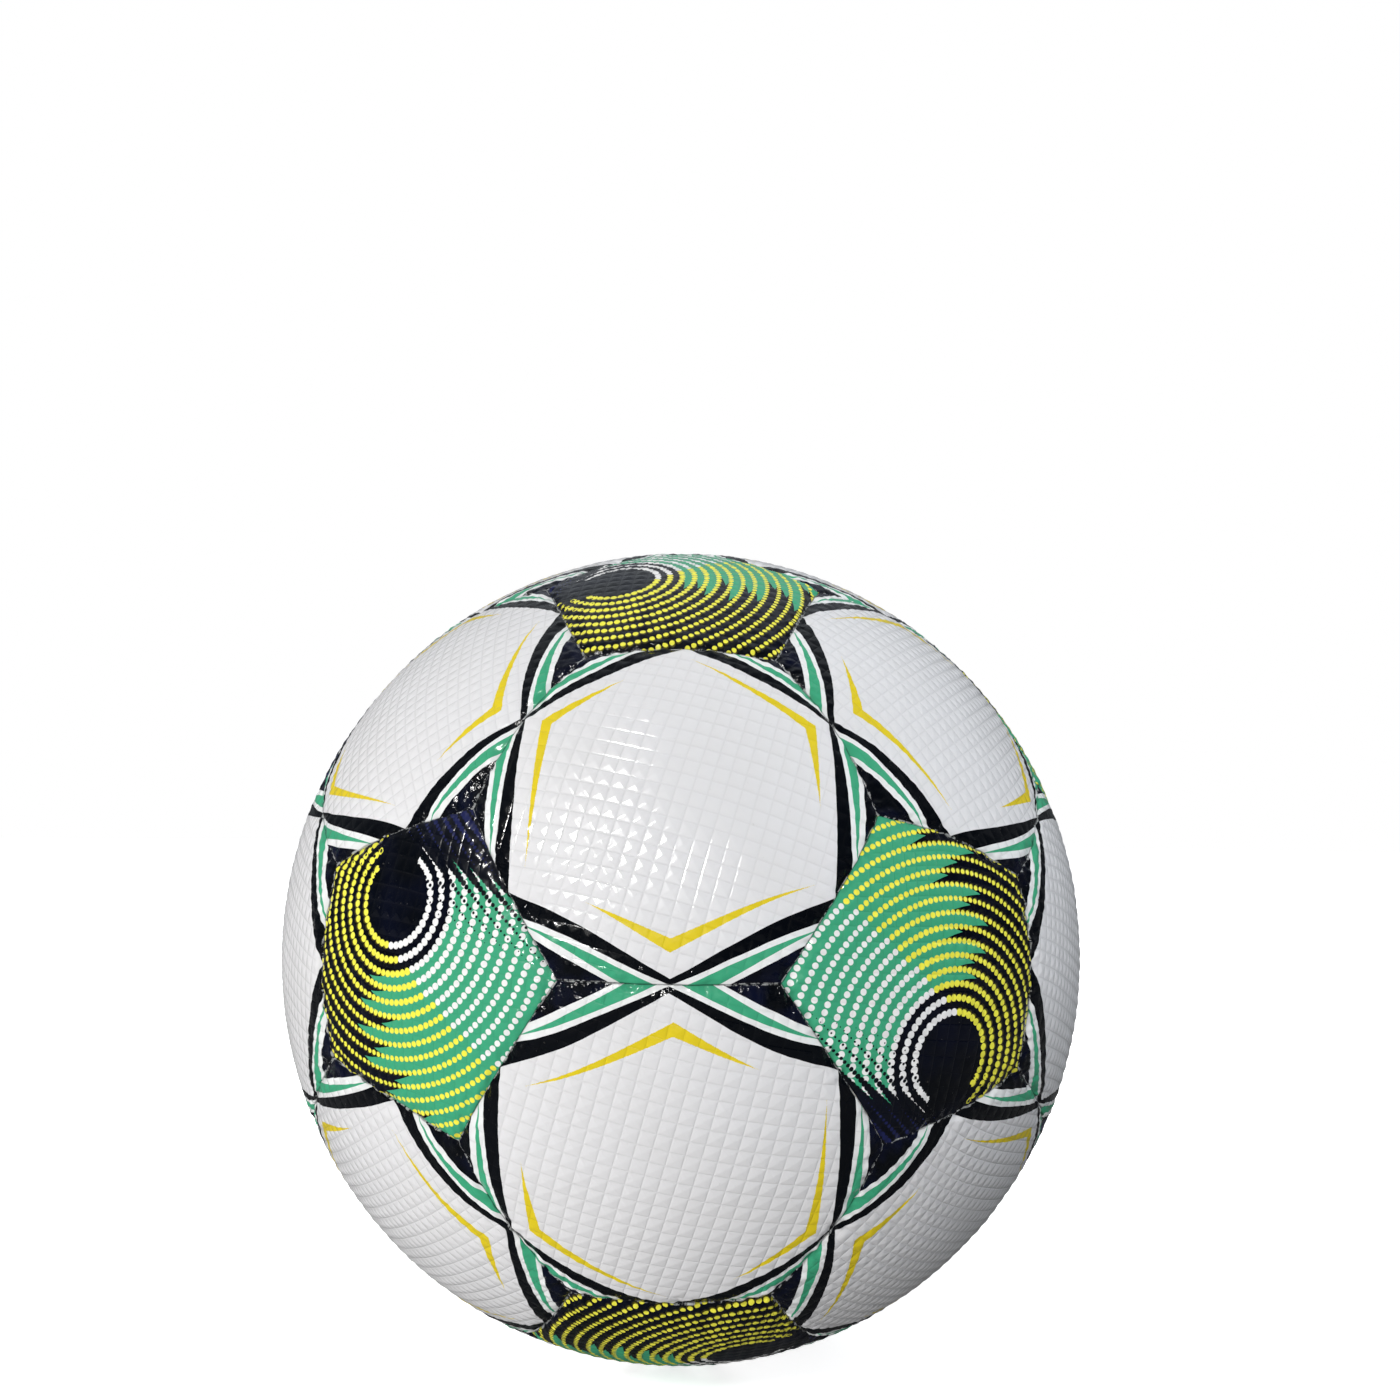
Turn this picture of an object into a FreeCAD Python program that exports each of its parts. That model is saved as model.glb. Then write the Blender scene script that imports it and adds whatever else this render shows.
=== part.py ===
import FreeCAD, Part
import math
import os
import Sketcher
from FreeCAD import Vector, Rotation, Placement

# Size 5 stitched soccer ball: 20 hexagonal and 12 pentagonal cover panels on
# the truncated icosahedron, laid over foam and lining, an inflated bladder and
# a rubber valve.  The origin is the centre of the ball, +Z is up and -Y is the
# front, where the middle of a level hexagon-hexagon seam faces.  Millimetres.

doc = FreeCAD.newDocument("SoccerBall")

PHI = (1 + math.sqrt(5)) / 2
SIDES = {"hexagon": 6, "pentagon": 5}
STITCHES = 8  # stitches along one seam

# Angles between panel centres.  Every side of a hexagon is equally far from
# its centre, so a hexagon-hexagon seam lies half way between the two.
HEXAGON_TO_HEXAGON = math.degrees(math.acos(math.sqrt(5) / 3))
HEXAGON_TO_PENTAGON = math.degrees(math.acos((1 + PHI) / math.sqrt(3 * (1 + PHI ** 2))))
HEXAGON_EDGE_ANGLE = HEXAGON_TO_HEXAGON / 2

# ---------------------------------------------------------------------------
# Driving dimensions
# ---------------------------------------------------------------------------
DIMENSIONS = [
    # alias, value or formula, what it is; radii and heights are from the ball's
    # centre unless they are of the valve, its holes, the thread or the ring
    ("ball_radius", 110.0, "outside of the cover"),
    ("skin_thickness", 1.4, "coated synthetic leather"),
    ("half_gap", 0.05, "each panel edge stands this far off the seam plane"),
    ("layer_gap", 0.05, "clearance round the foam and between foam and lining"),
    ("flange_radius", 105.0, "inner edge of the turned-in stitching flange"),
    ("cavity_outer", "=ball_radius - skin_thickness", "inside of the skin"),
    ("cavity_inner", 104.0, "the hollow runs past the inner edge of the flange"),
    ("cavity_inset", "=skin_thickness + half_gap", "inside of the flange off the seam plane"),
    ("hexagon_edge_angle", HEXAGON_EDGE_ANGLE,
     "hexagon centre to middle of an edge, degrees"),
    ("pentagon_edge_angle", HEXAGON_TO_PENTAGON - HEXAGON_EDGE_ANGLE,
     "pentagon centre to middle of an edge, degrees"),
    ("hexagon_cap_angle", 25.6, "blank cap of a hexagon before its edges are cut"),
    ("pentagon_cap_angle", 22.0, "blank cap of a pentagon before its edges are cut"),
    ("edge_cut_low", 90.0, "inner end of an edge cut, along the seam plane"),
    ("edge_cut_high", 118.0, "outer end of an edge cut, along the seam plane"),
    ("edge_cut_reach", 95.0, "far side of an edge cut off the panel's axis"),
    ("edge_round", 1.5, "rolled outer edge of a panel"),
    ("stitch_radius", 106.0, "circle the stitch holes lie on"),
    ("stitch_hole", 0.45, "radius of a stitch hole"),
    ("stitch_step", 2.7, "angle between stitches, degrees"),
    ("stitch_reach", 3.0, "half length of a stitch hole cut"),
    ("thread_radius", 0.35, "thread crossing the seam"),
    ("rail_radius", 0.4, "half the thickness of the flat thread lying along the flange"),
    ("rail_offset", 1.9, "rail centre off the seam plane"),
    ("rail_overrun", 0.2, "rail past the end stitches, degrees"),
    ("foam_thickness", 2.0, "foam layer"),
    ("foam_outer", "=cavity_outer - layer_gap", "foam layer, outside"),
    ("foam_inner", "=foam_outer - foam_thickness", "foam layer, inside"),
    ("foam_inset", "=cavity_inset + layer_gap", "foam edge off the seam plane"),
    ("lining_outer", "=foam_inner - layer_gap", "woven lining, outside"),
    ("lining_inner", 105.05, "woven lining, inside"),
    ("lining_inset", 2.4, "lining edge off the seam plane"),
    ("bladder_outer", 104.9, "inflated bladder, outside"),
    ("bladder_inner", 104.0, "inflated bladder, inside"),
    ("bladder_hole", 5.3, "hole in the bladder for the valve neck"),
    ("valve_hole", 4.6, "hole in the valve panel and its foam"),
    ("lining_valve_hole", 12.1, "hole in the lining of the valve panel"),
    ("valve_hole_depth", 140.0, "length of every valve hole cut, from the centre out"),
    ("neck_radius", 5.25, "valve neck through the bladder"),
    ("neck_top", 106.3, "top of the thick part of the neck"),
    ("collar_radius", 4.5, "valve collar through the panel"),
    ("collar_top", 109.6, "top of the valve collar"),
    ("valve_flange_radius", 11.5, "valve flange bonded inside the bladder"),
    ("valve_flange_rim", 103.2, "top of the valve flange at its rim"),
    ("valve_flange_root", 103.8, "top of the valve flange at the neck"),
    ("valve_flange_bottom", 101.9, "underside of the valve flange"),
    ("tube_radius", 4.4, "valve tube inside the bladder"),
    ("tube_bottom", 92.0, "lower end of the valve tube"),
    ("plug_bore", 2.55, "bore of the valve housing"),
    ("plug_shaft", 2.5, "shaft of the valve plug"),
    ("head_seat_radius", 3.55, "counterbore for the head of the plug"),
    ("head_seat_floor", 108.0, "floor of the counterbore"),
    ("head_radius", 3.4, "head of the valve plug"),
    ("head_floor", 108.02, "underside of the head of the plug"),
    ("head_top", 109.4, "top of the valve plug"),
    ("plug_bottom", 93.0, "lower end of the valve plug"),
    ("needle_radius", 1.05, "bore that guides the inflation needle"),
    ("needle_funnel", 1.75, "mouth of the needle bore"),
    ("needle_funnel_depth", 0.7, "depth of the mouth"),
    ("needle_funnel_floor", "=head_top - needle_funnel_depth", "lower end of the mouth"),
    ("ring_outer", 12.0, "reinforcement ring round the neck, outside"),
    ("ring_inner", 5.35, "reinforcement ring round the neck, inside"),
    ("ring_top", 105.75, "reinforcement ring, top"),
]
sheet = doc.addObject("Spreadsheet::Sheet", "Dimensions")
sheet.Label = "Dimensions"
for row, (alias, value, note) in enumerate(DIMENSIONS, start=1):
    sheet.set("A%d" % row, alias)
    sheet.set("B%d" % row, value if isinstance(value, str) else "%.7g" % value)
    sheet.set("C%d" % row, note)
    sheet.setAlias("B%d" % row, alias)
doc.recompute()


def dim(alias):
    return float(sheet.get(alias))


def bound(alias):
    return "Dimensions." + alias


# ---------------------------------------------------------------------------
# Layout of the panels: icosahedral symmetry, two-fold axis to the front
# ---------------------------------------------------------------------------
SAME_DIRECTION = 1.0         # degrees; closer directions are the same one
NEAR_HEXAGON = 45.0          # reaches only the hexagons that share a seam
NEAR_PENTAGON = 70.0         # reaches only the nearest pentagons
NEAR_CORNER = 25.0           # reaches only the corners at the far end of a seam


def unit(vector):
    result = Vector(vector)
    result.normalize()
    return result


def signs(values):
    # every combination of signs of the values
    out = [()]
    for value in values:
        choices = (value,) if value == 0 else (value, -value)
        out = [head + (choice,) for head in out for choice in choices]
    return out


def ordered(directions):
    # top to bottom, then round the ball starting at the front
    def key(v):
        return (-round(v.z, 4), round(math.atan2(v.x, -v.y) % (2 * math.pi), 4))
    return sorted(directions, key=key)


def directions_of(*families):
    return ordered([unit(Vector(*p)) for family in families for p in signs(family)])


pentagons = directions_of((1, PHI, 0), (0, 1, PHI), (PHI, 0, 1))
hexagons = directions_of((1, 1, 1), (0, PHI, 1 / PHI), (1 / PHI, 0, PHI), (PHI, 1 / PHI, 0))
VALVE_DIRECTION = unit(Vector(-1, 1, 1))  # the hexagon at the upper left of the back


def angle_between(a, b):
    return math.degrees(math.acos(max(-1.0, min(1.0, a.dot(b)))))


def near(direction, candidates, limit):
    return [other for other in candidates
            if SAME_DIRECTION < angle_between(direction, other) < limit]


def has_valve(direction):
    return angle_between(direction, VALVE_DIRECTION) < SAME_DIRECTION


def axes_placement(x_axis, y_axis, z_axis):
    return Placement(FreeCAD.Matrix(x_axis.x, y_axis.x, z_axis.x, 0,
                                    x_axis.y, y_axis.y, z_axis.y, 0,
                                    x_axis.z, y_axis.z, z_axis.z, 0,
                                    0, 0, 0, 1))


def panel_frame(centre):
    # local Z runs out through the panel's centre, local X leans to the middle
    # of the seam with the first neighbouring hexagon
    toward = ordered(near(centre, hexagons, NEAR_HEXAGON))[0]
    x_axis = unit(toward - centre * toward.dot(centre))
    return axes_placement(x_axis, centre.cross(x_axis), centre)


def seam_frame(a, b):
    # local X at the middle of the seam, local Y along it, local Z across it
    x_axis = unit(a + b)
    y_axis = unit(b - a)
    return axes_placement(x_axis, y_axis, x_axis.cross(y_axis))


# ---------------------------------------------------------------------------
# Sketch helpers
# ---------------------------------------------------------------------------
Constraint = Sketcher.Constraint
START, END, CENTRE = 1, 2, 3       # points of a sketch element
ORIGIN = (-1, START)               # the sketch's origin
V_AXIS = -2                        # the sketch's vertical axis


def origin_feature(body, role):
    for item in body.Origin.OriginFeatures:
        if item.Role == role:
            return item
    raise RuntimeError("no origin feature " + role)


def new_body(label):
    body = doc.addObject("PartDesign::Body", label)
    body.Label = label
    return body


def sketch_on(body, name, role):
    sketch = body.newObject("Sketcher::SketchObject", name)
    sketch.AttachmentSupport = (origin_feature(body, role), [""])
    sketch.MapMode = "FlatFace"
    return sketch


def polar(radius, angle_deg):
    # angle measured from the sketch's vertical axis towards +x
    angle = math.radians(angle_deg)
    return Vector(radius * math.sin(angle), radius * math.cos(angle), 0)


def add_line(sketch, start, end):
    return sketch.addGeometry(Part.LineSegment(start, end), False)


def add_circle(sketch, centre, radius):
    return sketch.addGeometry(Part.Circle(centre, Vector(0, 0, 1), radius), False)


def add_arc(sketch, radius, start, end):
    circle = Part.Circle(Vector(), Vector(0, 0, 1), radius)
    return sketch.addGeometry(Part.ArcOfCircle(circle, start, end), False)


def join(sketch, *pairs):
    for pair in pairs:
        sketch.addConstraint(Constraint("Coincident", *pair))


def drive(sketch, constraint, name, expression):
    # a named dimension that follows the spreadsheet
    index = sketch.addConstraint(constraint)
    sketch.renameConstraint(index, name)
    sketch.setExpression("Constraints." + name, expression)


def drive_radius(sketch, element, name, alias):
    drive(sketch, Constraint("Radius", element, dim(alias)), name, bound(alias))


def hold_point(sketch, element, point, place, name, expressions):
    # hold one point by its distances from the origin; where a coordinate is
    # negative, its expression gives the size alone
    for value, expression, kind, tag in zip(
            place, expressions, ("DistanceX", "DistanceY"), ("_x", "_y")):
        if value >= 0:
            constraint = Constraint(kind, *ORIGIN, element, point, value)
        else:
            constraint = Constraint(kind, element, point, *ORIGIN, -value)
        drive(sketch, constraint, name + tag, expression)


def polygon(sketch, points):
    # closed loop of lines
    count = len(points)
    corners = [Vector(x, y, 0) for x, y in points]
    lines = [add_line(sketch, corners[k], corners[(k + 1) % count]) for k in range(count)]
    for k in range(count):
        join(sketch, (lines[k], END, lines[(k + 1) % count], START))
    return lines


def cap_profile(sketch, outer_alias, inner_alias, cap_alias):
    # a ring sector from the vertical axis out to the cap angle
    outer_radius, inner_radius, cap = dim(outer_alias), dim(inner_alias), dim(cap_alias)
    low, high = math.radians(90.0 - cap), math.radians(90.0)
    outer = add_arc(sketch, outer_radius, low, high)
    inner = add_arc(sketch, inner_radius, low, high)
    side = add_line(sketch, polar(inner_radius, cap), polar(outer_radius, cap))
    axis = add_line(sketch, polar(outer_radius, 0), polar(inner_radius, 0))
    join(sketch,
         (outer, CENTRE, *ORIGIN), (inner, CENTRE, *ORIGIN),
         (side, END, outer, START), (side, START, inner, START),
         (axis, START, outer, END), (axis, END, inner, END))
    sketch.addConstraint(Constraint("PointOnObject", outer, END, V_AXIS))
    sketch.addConstraint(Constraint("PointOnObject", inner, END, V_AXIS))
    sketch.addConstraint(Constraint("PointOnObject", *ORIGIN, side))
    drive_radius(sketch, outer, "outer", outer_alias)
    drive_radius(sketch, inner, "inner", inner_alias)
    reach = outer_radius * math.sin(math.radians(cap))
    drive(sketch, Constraint("DistanceX", *ORIGIN, side, END, reach), "reach",
          "%s * sin(%s * 1deg)" % (bound(outer_alias), bound(cap_alias)))


def edge_cut_profile(sketch, edge_alias, inset_alias):
    # everything outside the plane that runs from the ball's centre to the
    # panel edge, moved in by the inset
    inset, reach = dim(inset_alias), dim("edge_cut_reach")
    angle = math.radians(dim(edge_alias))

    def along_edge(alias):
        distance = dim(alias)
        return (distance * math.sin(angle) - inset * math.cos(angle),
                distance * math.cos(angle) + inset * math.sin(angle))

    def along_edge_expressions(alias):
        names = (bound(alias), bound(edge_alias), bound(inset_alias), bound(edge_alias))
        return ("%s * sin(%s * 1deg) - %s * cos(%s * 1deg)" % names,
                "%s * cos(%s * 1deg) + %s * sin(%s * 1deg)" % names)

    low, high = along_edge("edge_cut_low"), along_edge("edge_cut_high")
    slope, top, outside, bottom = polygon(
        sketch, [low, high, (reach, high[1]), (reach, low[1])])
    hold_point(sketch, slope, START, low, "low", along_edge_expressions("edge_cut_low"))
    hold_point(sketch, slope, END, high, "high", along_edge_expressions("edge_cut_high"))
    sketch.addConstraint(Constraint("Horizontal", top))
    sketch.addConstraint(Constraint("Horizontal", bottom))
    sketch.addConstraint(Constraint("Vertical", outside))
    drive(sketch, Constraint("DistanceX", *ORIGIN, top, END, reach), "wide",
          bound("edge_cut_reach"))


# ---------------------------------------------------------------------------
# Feature helpers
# ---------------------------------------------------------------------------
LEAST_CUT = 1.0  # mm3; a cut that takes less than this has missed


def require_cut(feature, before, message):
    if not feature.Shape.Volume < before - LEAST_CUT:
        raise RuntimeError(message)


def turn(body, sketch, name):
    solid = body.newObject("PartDesign::Revolution", name)
    solid.Profile = sketch
    solid.ReferenceAxis = (sketch, ["V_Axis"])
    solid.Angle = 360.0
    doc.recompute()
    return solid


def repeat_round(body, feature, name, count, message):
    # repeat a cut evenly about the body's Z axis
    pattern = body.newObject("PartDesign::PolarPattern", name)
    pattern.Originals = [feature]
    pattern.Axis = (origin_feature(body, "Z_Axis"), [""])
    pattern.Angle = 360.0
    pattern.Occurrences = count
    body.Tip = pattern
    doc.recompute()
    require_cut(pattern, feature.Shape.Volume, message)
    return pattern


def outline_blank(body, tag, kind, outer_alias, inner_alias, inset_alias):
    # spherical cap with its edges cut to a regular spherical polygon
    profile = sketch_on(body, tag + "_cap_profile", "XZ_Plane")
    cap_profile(profile, outer_alias, inner_alias, kind + "_cap_angle")
    cap = turn(body, profile, tag + "_cap")
    before = cap.Shape.Volume

    profile = sketch_on(body, tag + "_edge_profile", "XZ_Plane")
    edge_cut_profile(profile, kind + "_edge_angle", inset_alias)
    cut = body.newObject("PartDesign::Pocket", tag + "_edge")
    cut.Profile = profile
    cut.Type = "ThroughAll"
    cut.SideType = "Symmetric"
    doc.recompute()
    require_cut(cut, before, tag + ": the edge cut removed nothing")
    return repeat_round(body, cut, tag + "_edges", SIDES[kind],
                        tag + ": the edge pattern removed nothing")


def cut_centre_hole(body, tag, radius_alias):
    # a hole along the body's own Z axis, towards +Z only
    before = body.Tip.Shape.Volume
    sketch = sketch_on(body, tag + "_plan", "XY_Plane")
    circle = add_circle(sketch, Vector(), dim(radius_alias))
    join(sketch, (circle, CENTRE, *ORIGIN))
    drive_radius(sketch, circle, "hole", radius_alias)
    hole = body.newObject("PartDesign::Pocket", tag)
    hole.Profile = sketch
    hole.Type = "Length"
    hole.SideType = "One side"
    hole.Reversed = True
    hole.Length = dim("valve_hole_depth")
    hole.setExpression("Length", bound("valve_hole_depth"))
    doc.recompute()
    require_cut(hole, before, tag + ": the hole removed nothing")


def moved(shape, placement):
    copy = shape.copy()
    copy.transformShape(placement.toMatrix(), True)
    return copy


def group_node(label, shapes):
    # small pieces of one kind: a group of separate solids
    node = doc.addObject("Part::Feature", label)
    node.Label = label
    node.Shape = Part.makeCompound(shapes)
    return node


# ---------------------------------------------------------------------------
# Cover panels
# ---------------------------------------------------------------------------
def rim_edges(shape, radius):
    # edges shared by the outer sphere and a flat side of the panel
    names = ["Edge%d" % (k + 1) for k in range(len(shape.Edges))]
    touching = {name: set() for name in names}
    for face in shape.Faces:
        kind = "other"
        if isinstance(face.Surface, Part.Sphere):
            kind = "outer" if abs(face.Surface.Radius - radius) < 1e-3 else "inner"
        elif isinstance(face.Surface, Part.Plane):
            kind = "side"
        for edge in face.Edges:
            for name, whole in zip(names, shape.Edges):
                if whole.isSame(edge):
                    touching[name].add(kind)
    return [name for name in names if touching[name] == {"outer", "side"}]


def roll_edges(body, label):
    # the rolled outer edge, where the skin turns down into its flanges
    blank = body.Tip
    rolled = body.newObject("PartDesign::Fillet", label + "_rolled_edge")
    rolled.Base = (blank, rim_edges(blank.Shape, dim("ball_radius")))
    rolled.Radius = dim("edge_round")
    rolled.setExpression("Radius", bound("edge_round"))
    doc.recompute()
    require_cut(rolled, blank.Shape.Volume, label + ": the rolled edge removed nothing")
    return rolled


def hollow_panel(body, label, kind):
    # hollow from the inside: leaves the skin and its turned-in flanges
    before = body.Tip.Shape.Volume
    cavity = new_body(label + "_cavity")
    outline_blank(cavity, label + "_hollow", kind, "cavity_outer", "cavity_inner",
                  "cavity_inset")
    tray = body.newObject("PartDesign::Boolean", label + "_tray")
    tray.setObjects([cavity])
    tray.Type = "Cut"
    body.Tip = tray
    doc.recompute()
    if not tray.Shape.Volume < 0.7 * before:
        raise RuntimeError(label + ": the tray was not hollowed")
    return tray


def punch_stitches(body, label, kind):
    # stitch holes through one flange, then round all flanges
    before = body.Tip.Shape.Volume
    edge_alias = kind + "_edge_angle"
    plan = sketch_on(body, label + "_stitch_plan", "YZ_Plane")
    plan.AttachmentOffset = Placement(Vector(), Rotation(Vector(1, 0, 0), dim(edge_alias)))
    plan.setExpression("AttachmentOffset.Rotation.Angle", "%s * 1deg" % bound(edge_alias))
    for k in range(STITCHES):
        steps = k - (STITCHES - 1) / 2
        spot = polar(dim("stitch_radius"), steps * dim("stitch_step"))
        hole = add_circle(plan, spot, dim("stitch_hole"))
        drive_radius(plan, hole, "hole_%d" % k, "stitch_hole")
        angle = "%g * %s * 1deg" % (abs(steps), bound("stitch_step"))
        hold_point(plan, hole, CENTRE, (spot.x, spot.y), "spot_%d" % k,
                   ("%s * sin(%s)" % (bound("stitch_radius"), angle),
                    "%s * cos(%s)" % (bound("stitch_radius"), angle)))
    doc.recompute()
    punch = body.newObject("PartDesign::Pocket", label + "_stitch_holes")
    punch.Profile = plan
    punch.Type = "Length"
    punch.SideType = "Symmetric"
    punch.Length = 2 * dim("stitch_reach")
    punch.setExpression("Length", "2 * " + bound("stitch_reach"))
    doc.recompute()
    require_cut(punch, before, label + ": the stitch holes removed nothing")
    repeat_round(body, punch, label + "_stitch_rows", SIDES[kind],
                 label + ": the stitch rows removed nothing")


def panel_body(label, kind, direction):
    body = new_body(label)
    outline_blank(body, label, kind, "ball_radius", "flange_radius", "half_gap")
    roll_edges(body, label)
    hollow_panel(body, label, kind)
    punch_stitches(body, label, kind)
    if has_valve(direction):
        cut_centre_hole(body, label + "_valve_hole", "valve_hole")
    body.Placement = panel_frame(direction)
    return body


sub_parts = []
for kind, directions in (("hexagon", hexagons), ("pentagon", pentagons)):
    for number, direction in enumerate(directions, start=1):
        sub_parts.append(panel_body("%s_panel_%02d" % (kind, number), kind, direction))


# ---------------------------------------------------------------------------
# Foam pads and woven linings inside the panels
# ---------------------------------------------------------------------------
LAYERS = (
    # name, outside, inside, inset, valve hole
    ("foam_pad", "foam_outer", "foam_inner", "foam_inset", "valve_hole"),
    ("lining", "lining_outer", "lining_inner", "lining_inset", "lining_valve_hole"),
)


def layer_body(label, kind, outline, hole_alias=None):
    body = new_body(label)
    outline_blank(body, label, kind, *outline)
    if hole_alias:
        cut_centre_hole(body, label + "_hole", hole_alias)
    return body


for name, *outline, hole_alias in LAYERS:
    plain = layer_body("pattern_hexagon_" + name, "hexagon", outline)
    holed = layer_body("pattern_valve_" + name, "hexagon", outline, hole_alias)
    five_sided = layer_body("pattern_pentagon_" + name, "pentagon", outline)
    sub_parts.append(group_node("hexagon_%ss" % name, [
        moved((holed if has_valve(direction) else plain).Shape, panel_frame(direction))
        for direction in hexagons]))
    sub_parts.append(group_node("pentagon_%ss" % name, [
        moved(five_sided.Shape, panel_frame(direction)) for direction in pentagons]))


# ---------------------------------------------------------------------------
# Seam threads: eight stitches of six-sided waxed cord through both flanges,
# joined by a flat rail of the same cord lying against each flange
# ---------------------------------------------------------------------------
def seam_rail(word, side):
    # an arc of flat cord: an outer sector less an inner one
    half_angle = (STITCHES - 1) / 2 * dim("stitch_step") + dim("rail_overrun")
    sectors = []
    for name, sign in (("outside", "+"), ("inside", "-")):
        sector = doc.addObject("Part::Cylinder", "rail_%s_%s" % (word, name))
        sector.setExpression("Radius", "%s %s %s" % (bound("stitch_radius"), sign,
                                                     bound("rail_radius")))
        sector.setExpression("Height", "2 * " + bound("rail_radius"))
        sector.setExpression("Angle", "%d * %s + 2 * %s" % (
            STITCHES - 1, bound("stitch_step"), bound("rail_overrun")))
        sector.Placement = Placement(
            Vector(0, 0, side * dim("rail_offset") - dim("rail_radius")),
            Rotation(Vector(0, 0, 1), -half_angle))
        sector.setExpression("Placement.Base.z", "%d * %s - %s" % (
            side, bound("rail_offset"), bound("rail_radius")))
        sectors.append(sector)
    rail = doc.addObject("Part::Cut", "rail_" + word)
    rail.Base, rail.Tool = sectors
    return rail


def seam_stitch(k):
    # one length of cord across the seam, from rail to rail
    angle = math.radians((k - (STITCHES - 1) / 2) * dim("stitch_step"))
    radius = dim("stitch_radius")
    stitch = doc.addObject("Part::Prism", "stitch_%d" % (k + 1))
    stitch.Polygon = 6
    stitch.setExpression("Circumradius", bound("thread_radius"))
    stitch.setExpression("Height", "2 * " + bound("rail_offset"))
    stitch.Placement = Placement(
        Vector(radius * math.cos(angle), radius * math.sin(angle), -dim("rail_offset")),
        Rotation())
    return stitch


one_seam = doc.addObject("Part::MultiFuse", "pattern_seam_thread")
one_seam.Shapes = ([seam_rail("left", -1), seam_rail("right", 1)]
                   + [seam_stitch(k) for k in range(STITCHES)])
one_seam.Refine = False
doc.recompute()

# panel corners lie a third of the way between neighbouring pentagon centres
corners = [unit(a * 2 + b) for a in pentagons for b in near(a, pentagons, NEAR_PENTAGON)]

hexagon_seams, pentagon_seams = [], []
for i, a in enumerate(corners):
    for b in near(a, corners[i + 1:], NEAR_CORNER):
        middle = unit(a + b)
        to_pentagon = min(angle_between(middle, centre) for centre in pentagons)
        beside_pentagon = to_pentagon < dim("pentagon_edge_angle") + SAME_DIRECTION
        seams = pentagon_seams if beside_pentagon else hexagon_seams
        seams.append(moved(one_seam.Shape, seam_frame(a, b)))
if len(hexagon_seams) != 30 or len(pentagon_seams) != 60:
    raise RuntimeError("seams: %d and %d" % (len(hexagon_seams), len(pentagon_seams)))
sub_parts.append(group_node("hexagon_seam_threads", hexagon_seams))
sub_parts.append(group_node("pentagon_seam_threads", pentagon_seams))


# ---------------------------------------------------------------------------
# Bladder and valve, all turned about the valve axis (local Z)
# ---------------------------------------------------------------------------
def bladder_profile(sketch):
    # half ring to the right of the vertical axis
    outer_radius, inner_radius = dim("bladder_outer"), dim("bladder_inner")
    outer = add_arc(sketch, outer_radius, -math.pi / 2, math.pi / 2)
    inner = add_arc(sketch, inner_radius, -math.pi / 2, math.pi / 2)
    top = add_line(sketch, Vector(0, outer_radius, 0), Vector(0, inner_radius, 0))
    low = add_line(sketch, Vector(0, -inner_radius, 0), Vector(0, -outer_radius, 0))
    join(sketch,
         (outer, CENTRE, *ORIGIN), (inner, CENTRE, *ORIGIN),
         (top, START, outer, END), (top, END, inner, END),
         (low, START, inner, START), (low, END, outer, START))
    for arc in (outer, inner):
        for point in (START, END):
            sketch.addConstraint(Constraint("PointOnObject", arc, point, V_AXIS))
    drive_radius(sketch, outer, "outer", "bladder_outer")
    drive_radius(sketch, inner, "inner", "bladder_inner")


def turned_outline(points):
    # straight-sided profile with every corner held by its two aliases
    def build(sketch):
        places = [(dim(x), dim(z)) for _, x, z in points]
        lines = polygon(sketch, places)
        for line, place, (name, x, z) in zip(lines, places, points):
            hold_point(sketch, line, START, place, name, (bound(x), bound(z)))
    return build


# Corner name, alias of its radius, alias of its height along the valve axis.
# Tube, flange coned to lie under the bladder, neck, collar with its seat:
HOUSING_OUTLINE = (
    ("bore_low", "plug_bore", "tube_bottom"),
    ("tube_low", "tube_radius", "tube_bottom"),
    ("tube_high", "tube_radius", "valve_flange_bottom"),
    ("flange_low", "valve_flange_radius", "valve_flange_bottom"),
    ("flange_high", "valve_flange_radius", "valve_flange_rim"),
    ("neck_low", "neck_radius", "valve_flange_root"),
    ("neck_high", "neck_radius", "neck_top"),
    ("collar_low", "collar_radius", "neck_top"),
    ("collar_high", "collar_radius", "collar_top"),
    ("seat_high", "head_seat_radius", "collar_top"),
    ("seat_low", "head_seat_radius", "head_seat_floor"),
    ("bore_high", "plug_bore", "head_seat_floor"),
)
# Shaft and head, bored for the needle with a funnel mouth:
PLUG_OUTLINE = (
    ("bore_low", "needle_radius", "plug_bottom"),
    ("shaft_low", "plug_shaft", "plug_bottom"),
    ("shaft_high", "plug_shaft", "head_floor"),
    ("head_low", "head_radius", "head_floor"),
    ("head_high", "head_radius", "head_top"),
    ("mouth_high", "needle_funnel", "head_top"),
    ("mouth_low", "needle_radius", "needle_funnel_floor"),
)
# Flat ring round the neck, level with the lining:
RING_OUTLINE = (
    ("low_in", "ring_inner", "lining_inner"),
    ("low_out", "ring_outer", "lining_inner"),
    ("high_out", "ring_outer", "ring_top"),
    ("high_in", "ring_inner", "ring_top"),
)


def valve_axis_body(label, build_profile, hole_alias=None):
    body = new_body(label)
    sketch = sketch_on(body, label + "_profile", "XZ_Plane")
    build_profile(sketch)
    turn(body, sketch, label + "_turned")
    if hole_alias:
        cut_centre_hole(body, label + "_valve_hole", hole_alias)
    body.Placement = panel_frame(VALVE_DIRECTION)
    return body


sub_parts.append(valve_axis_body("bladder", bladder_profile, "bladder_hole"))
for label, outline in (("valve_housing", HOUSING_OUTLINE),
                       ("valve_plug", PLUG_OUTLINE),
                       ("valve_reinforcement_ring", RING_OUTLINE)):
    sub_parts.append(valve_axis_body(label, turned_outline(outline)))

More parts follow.
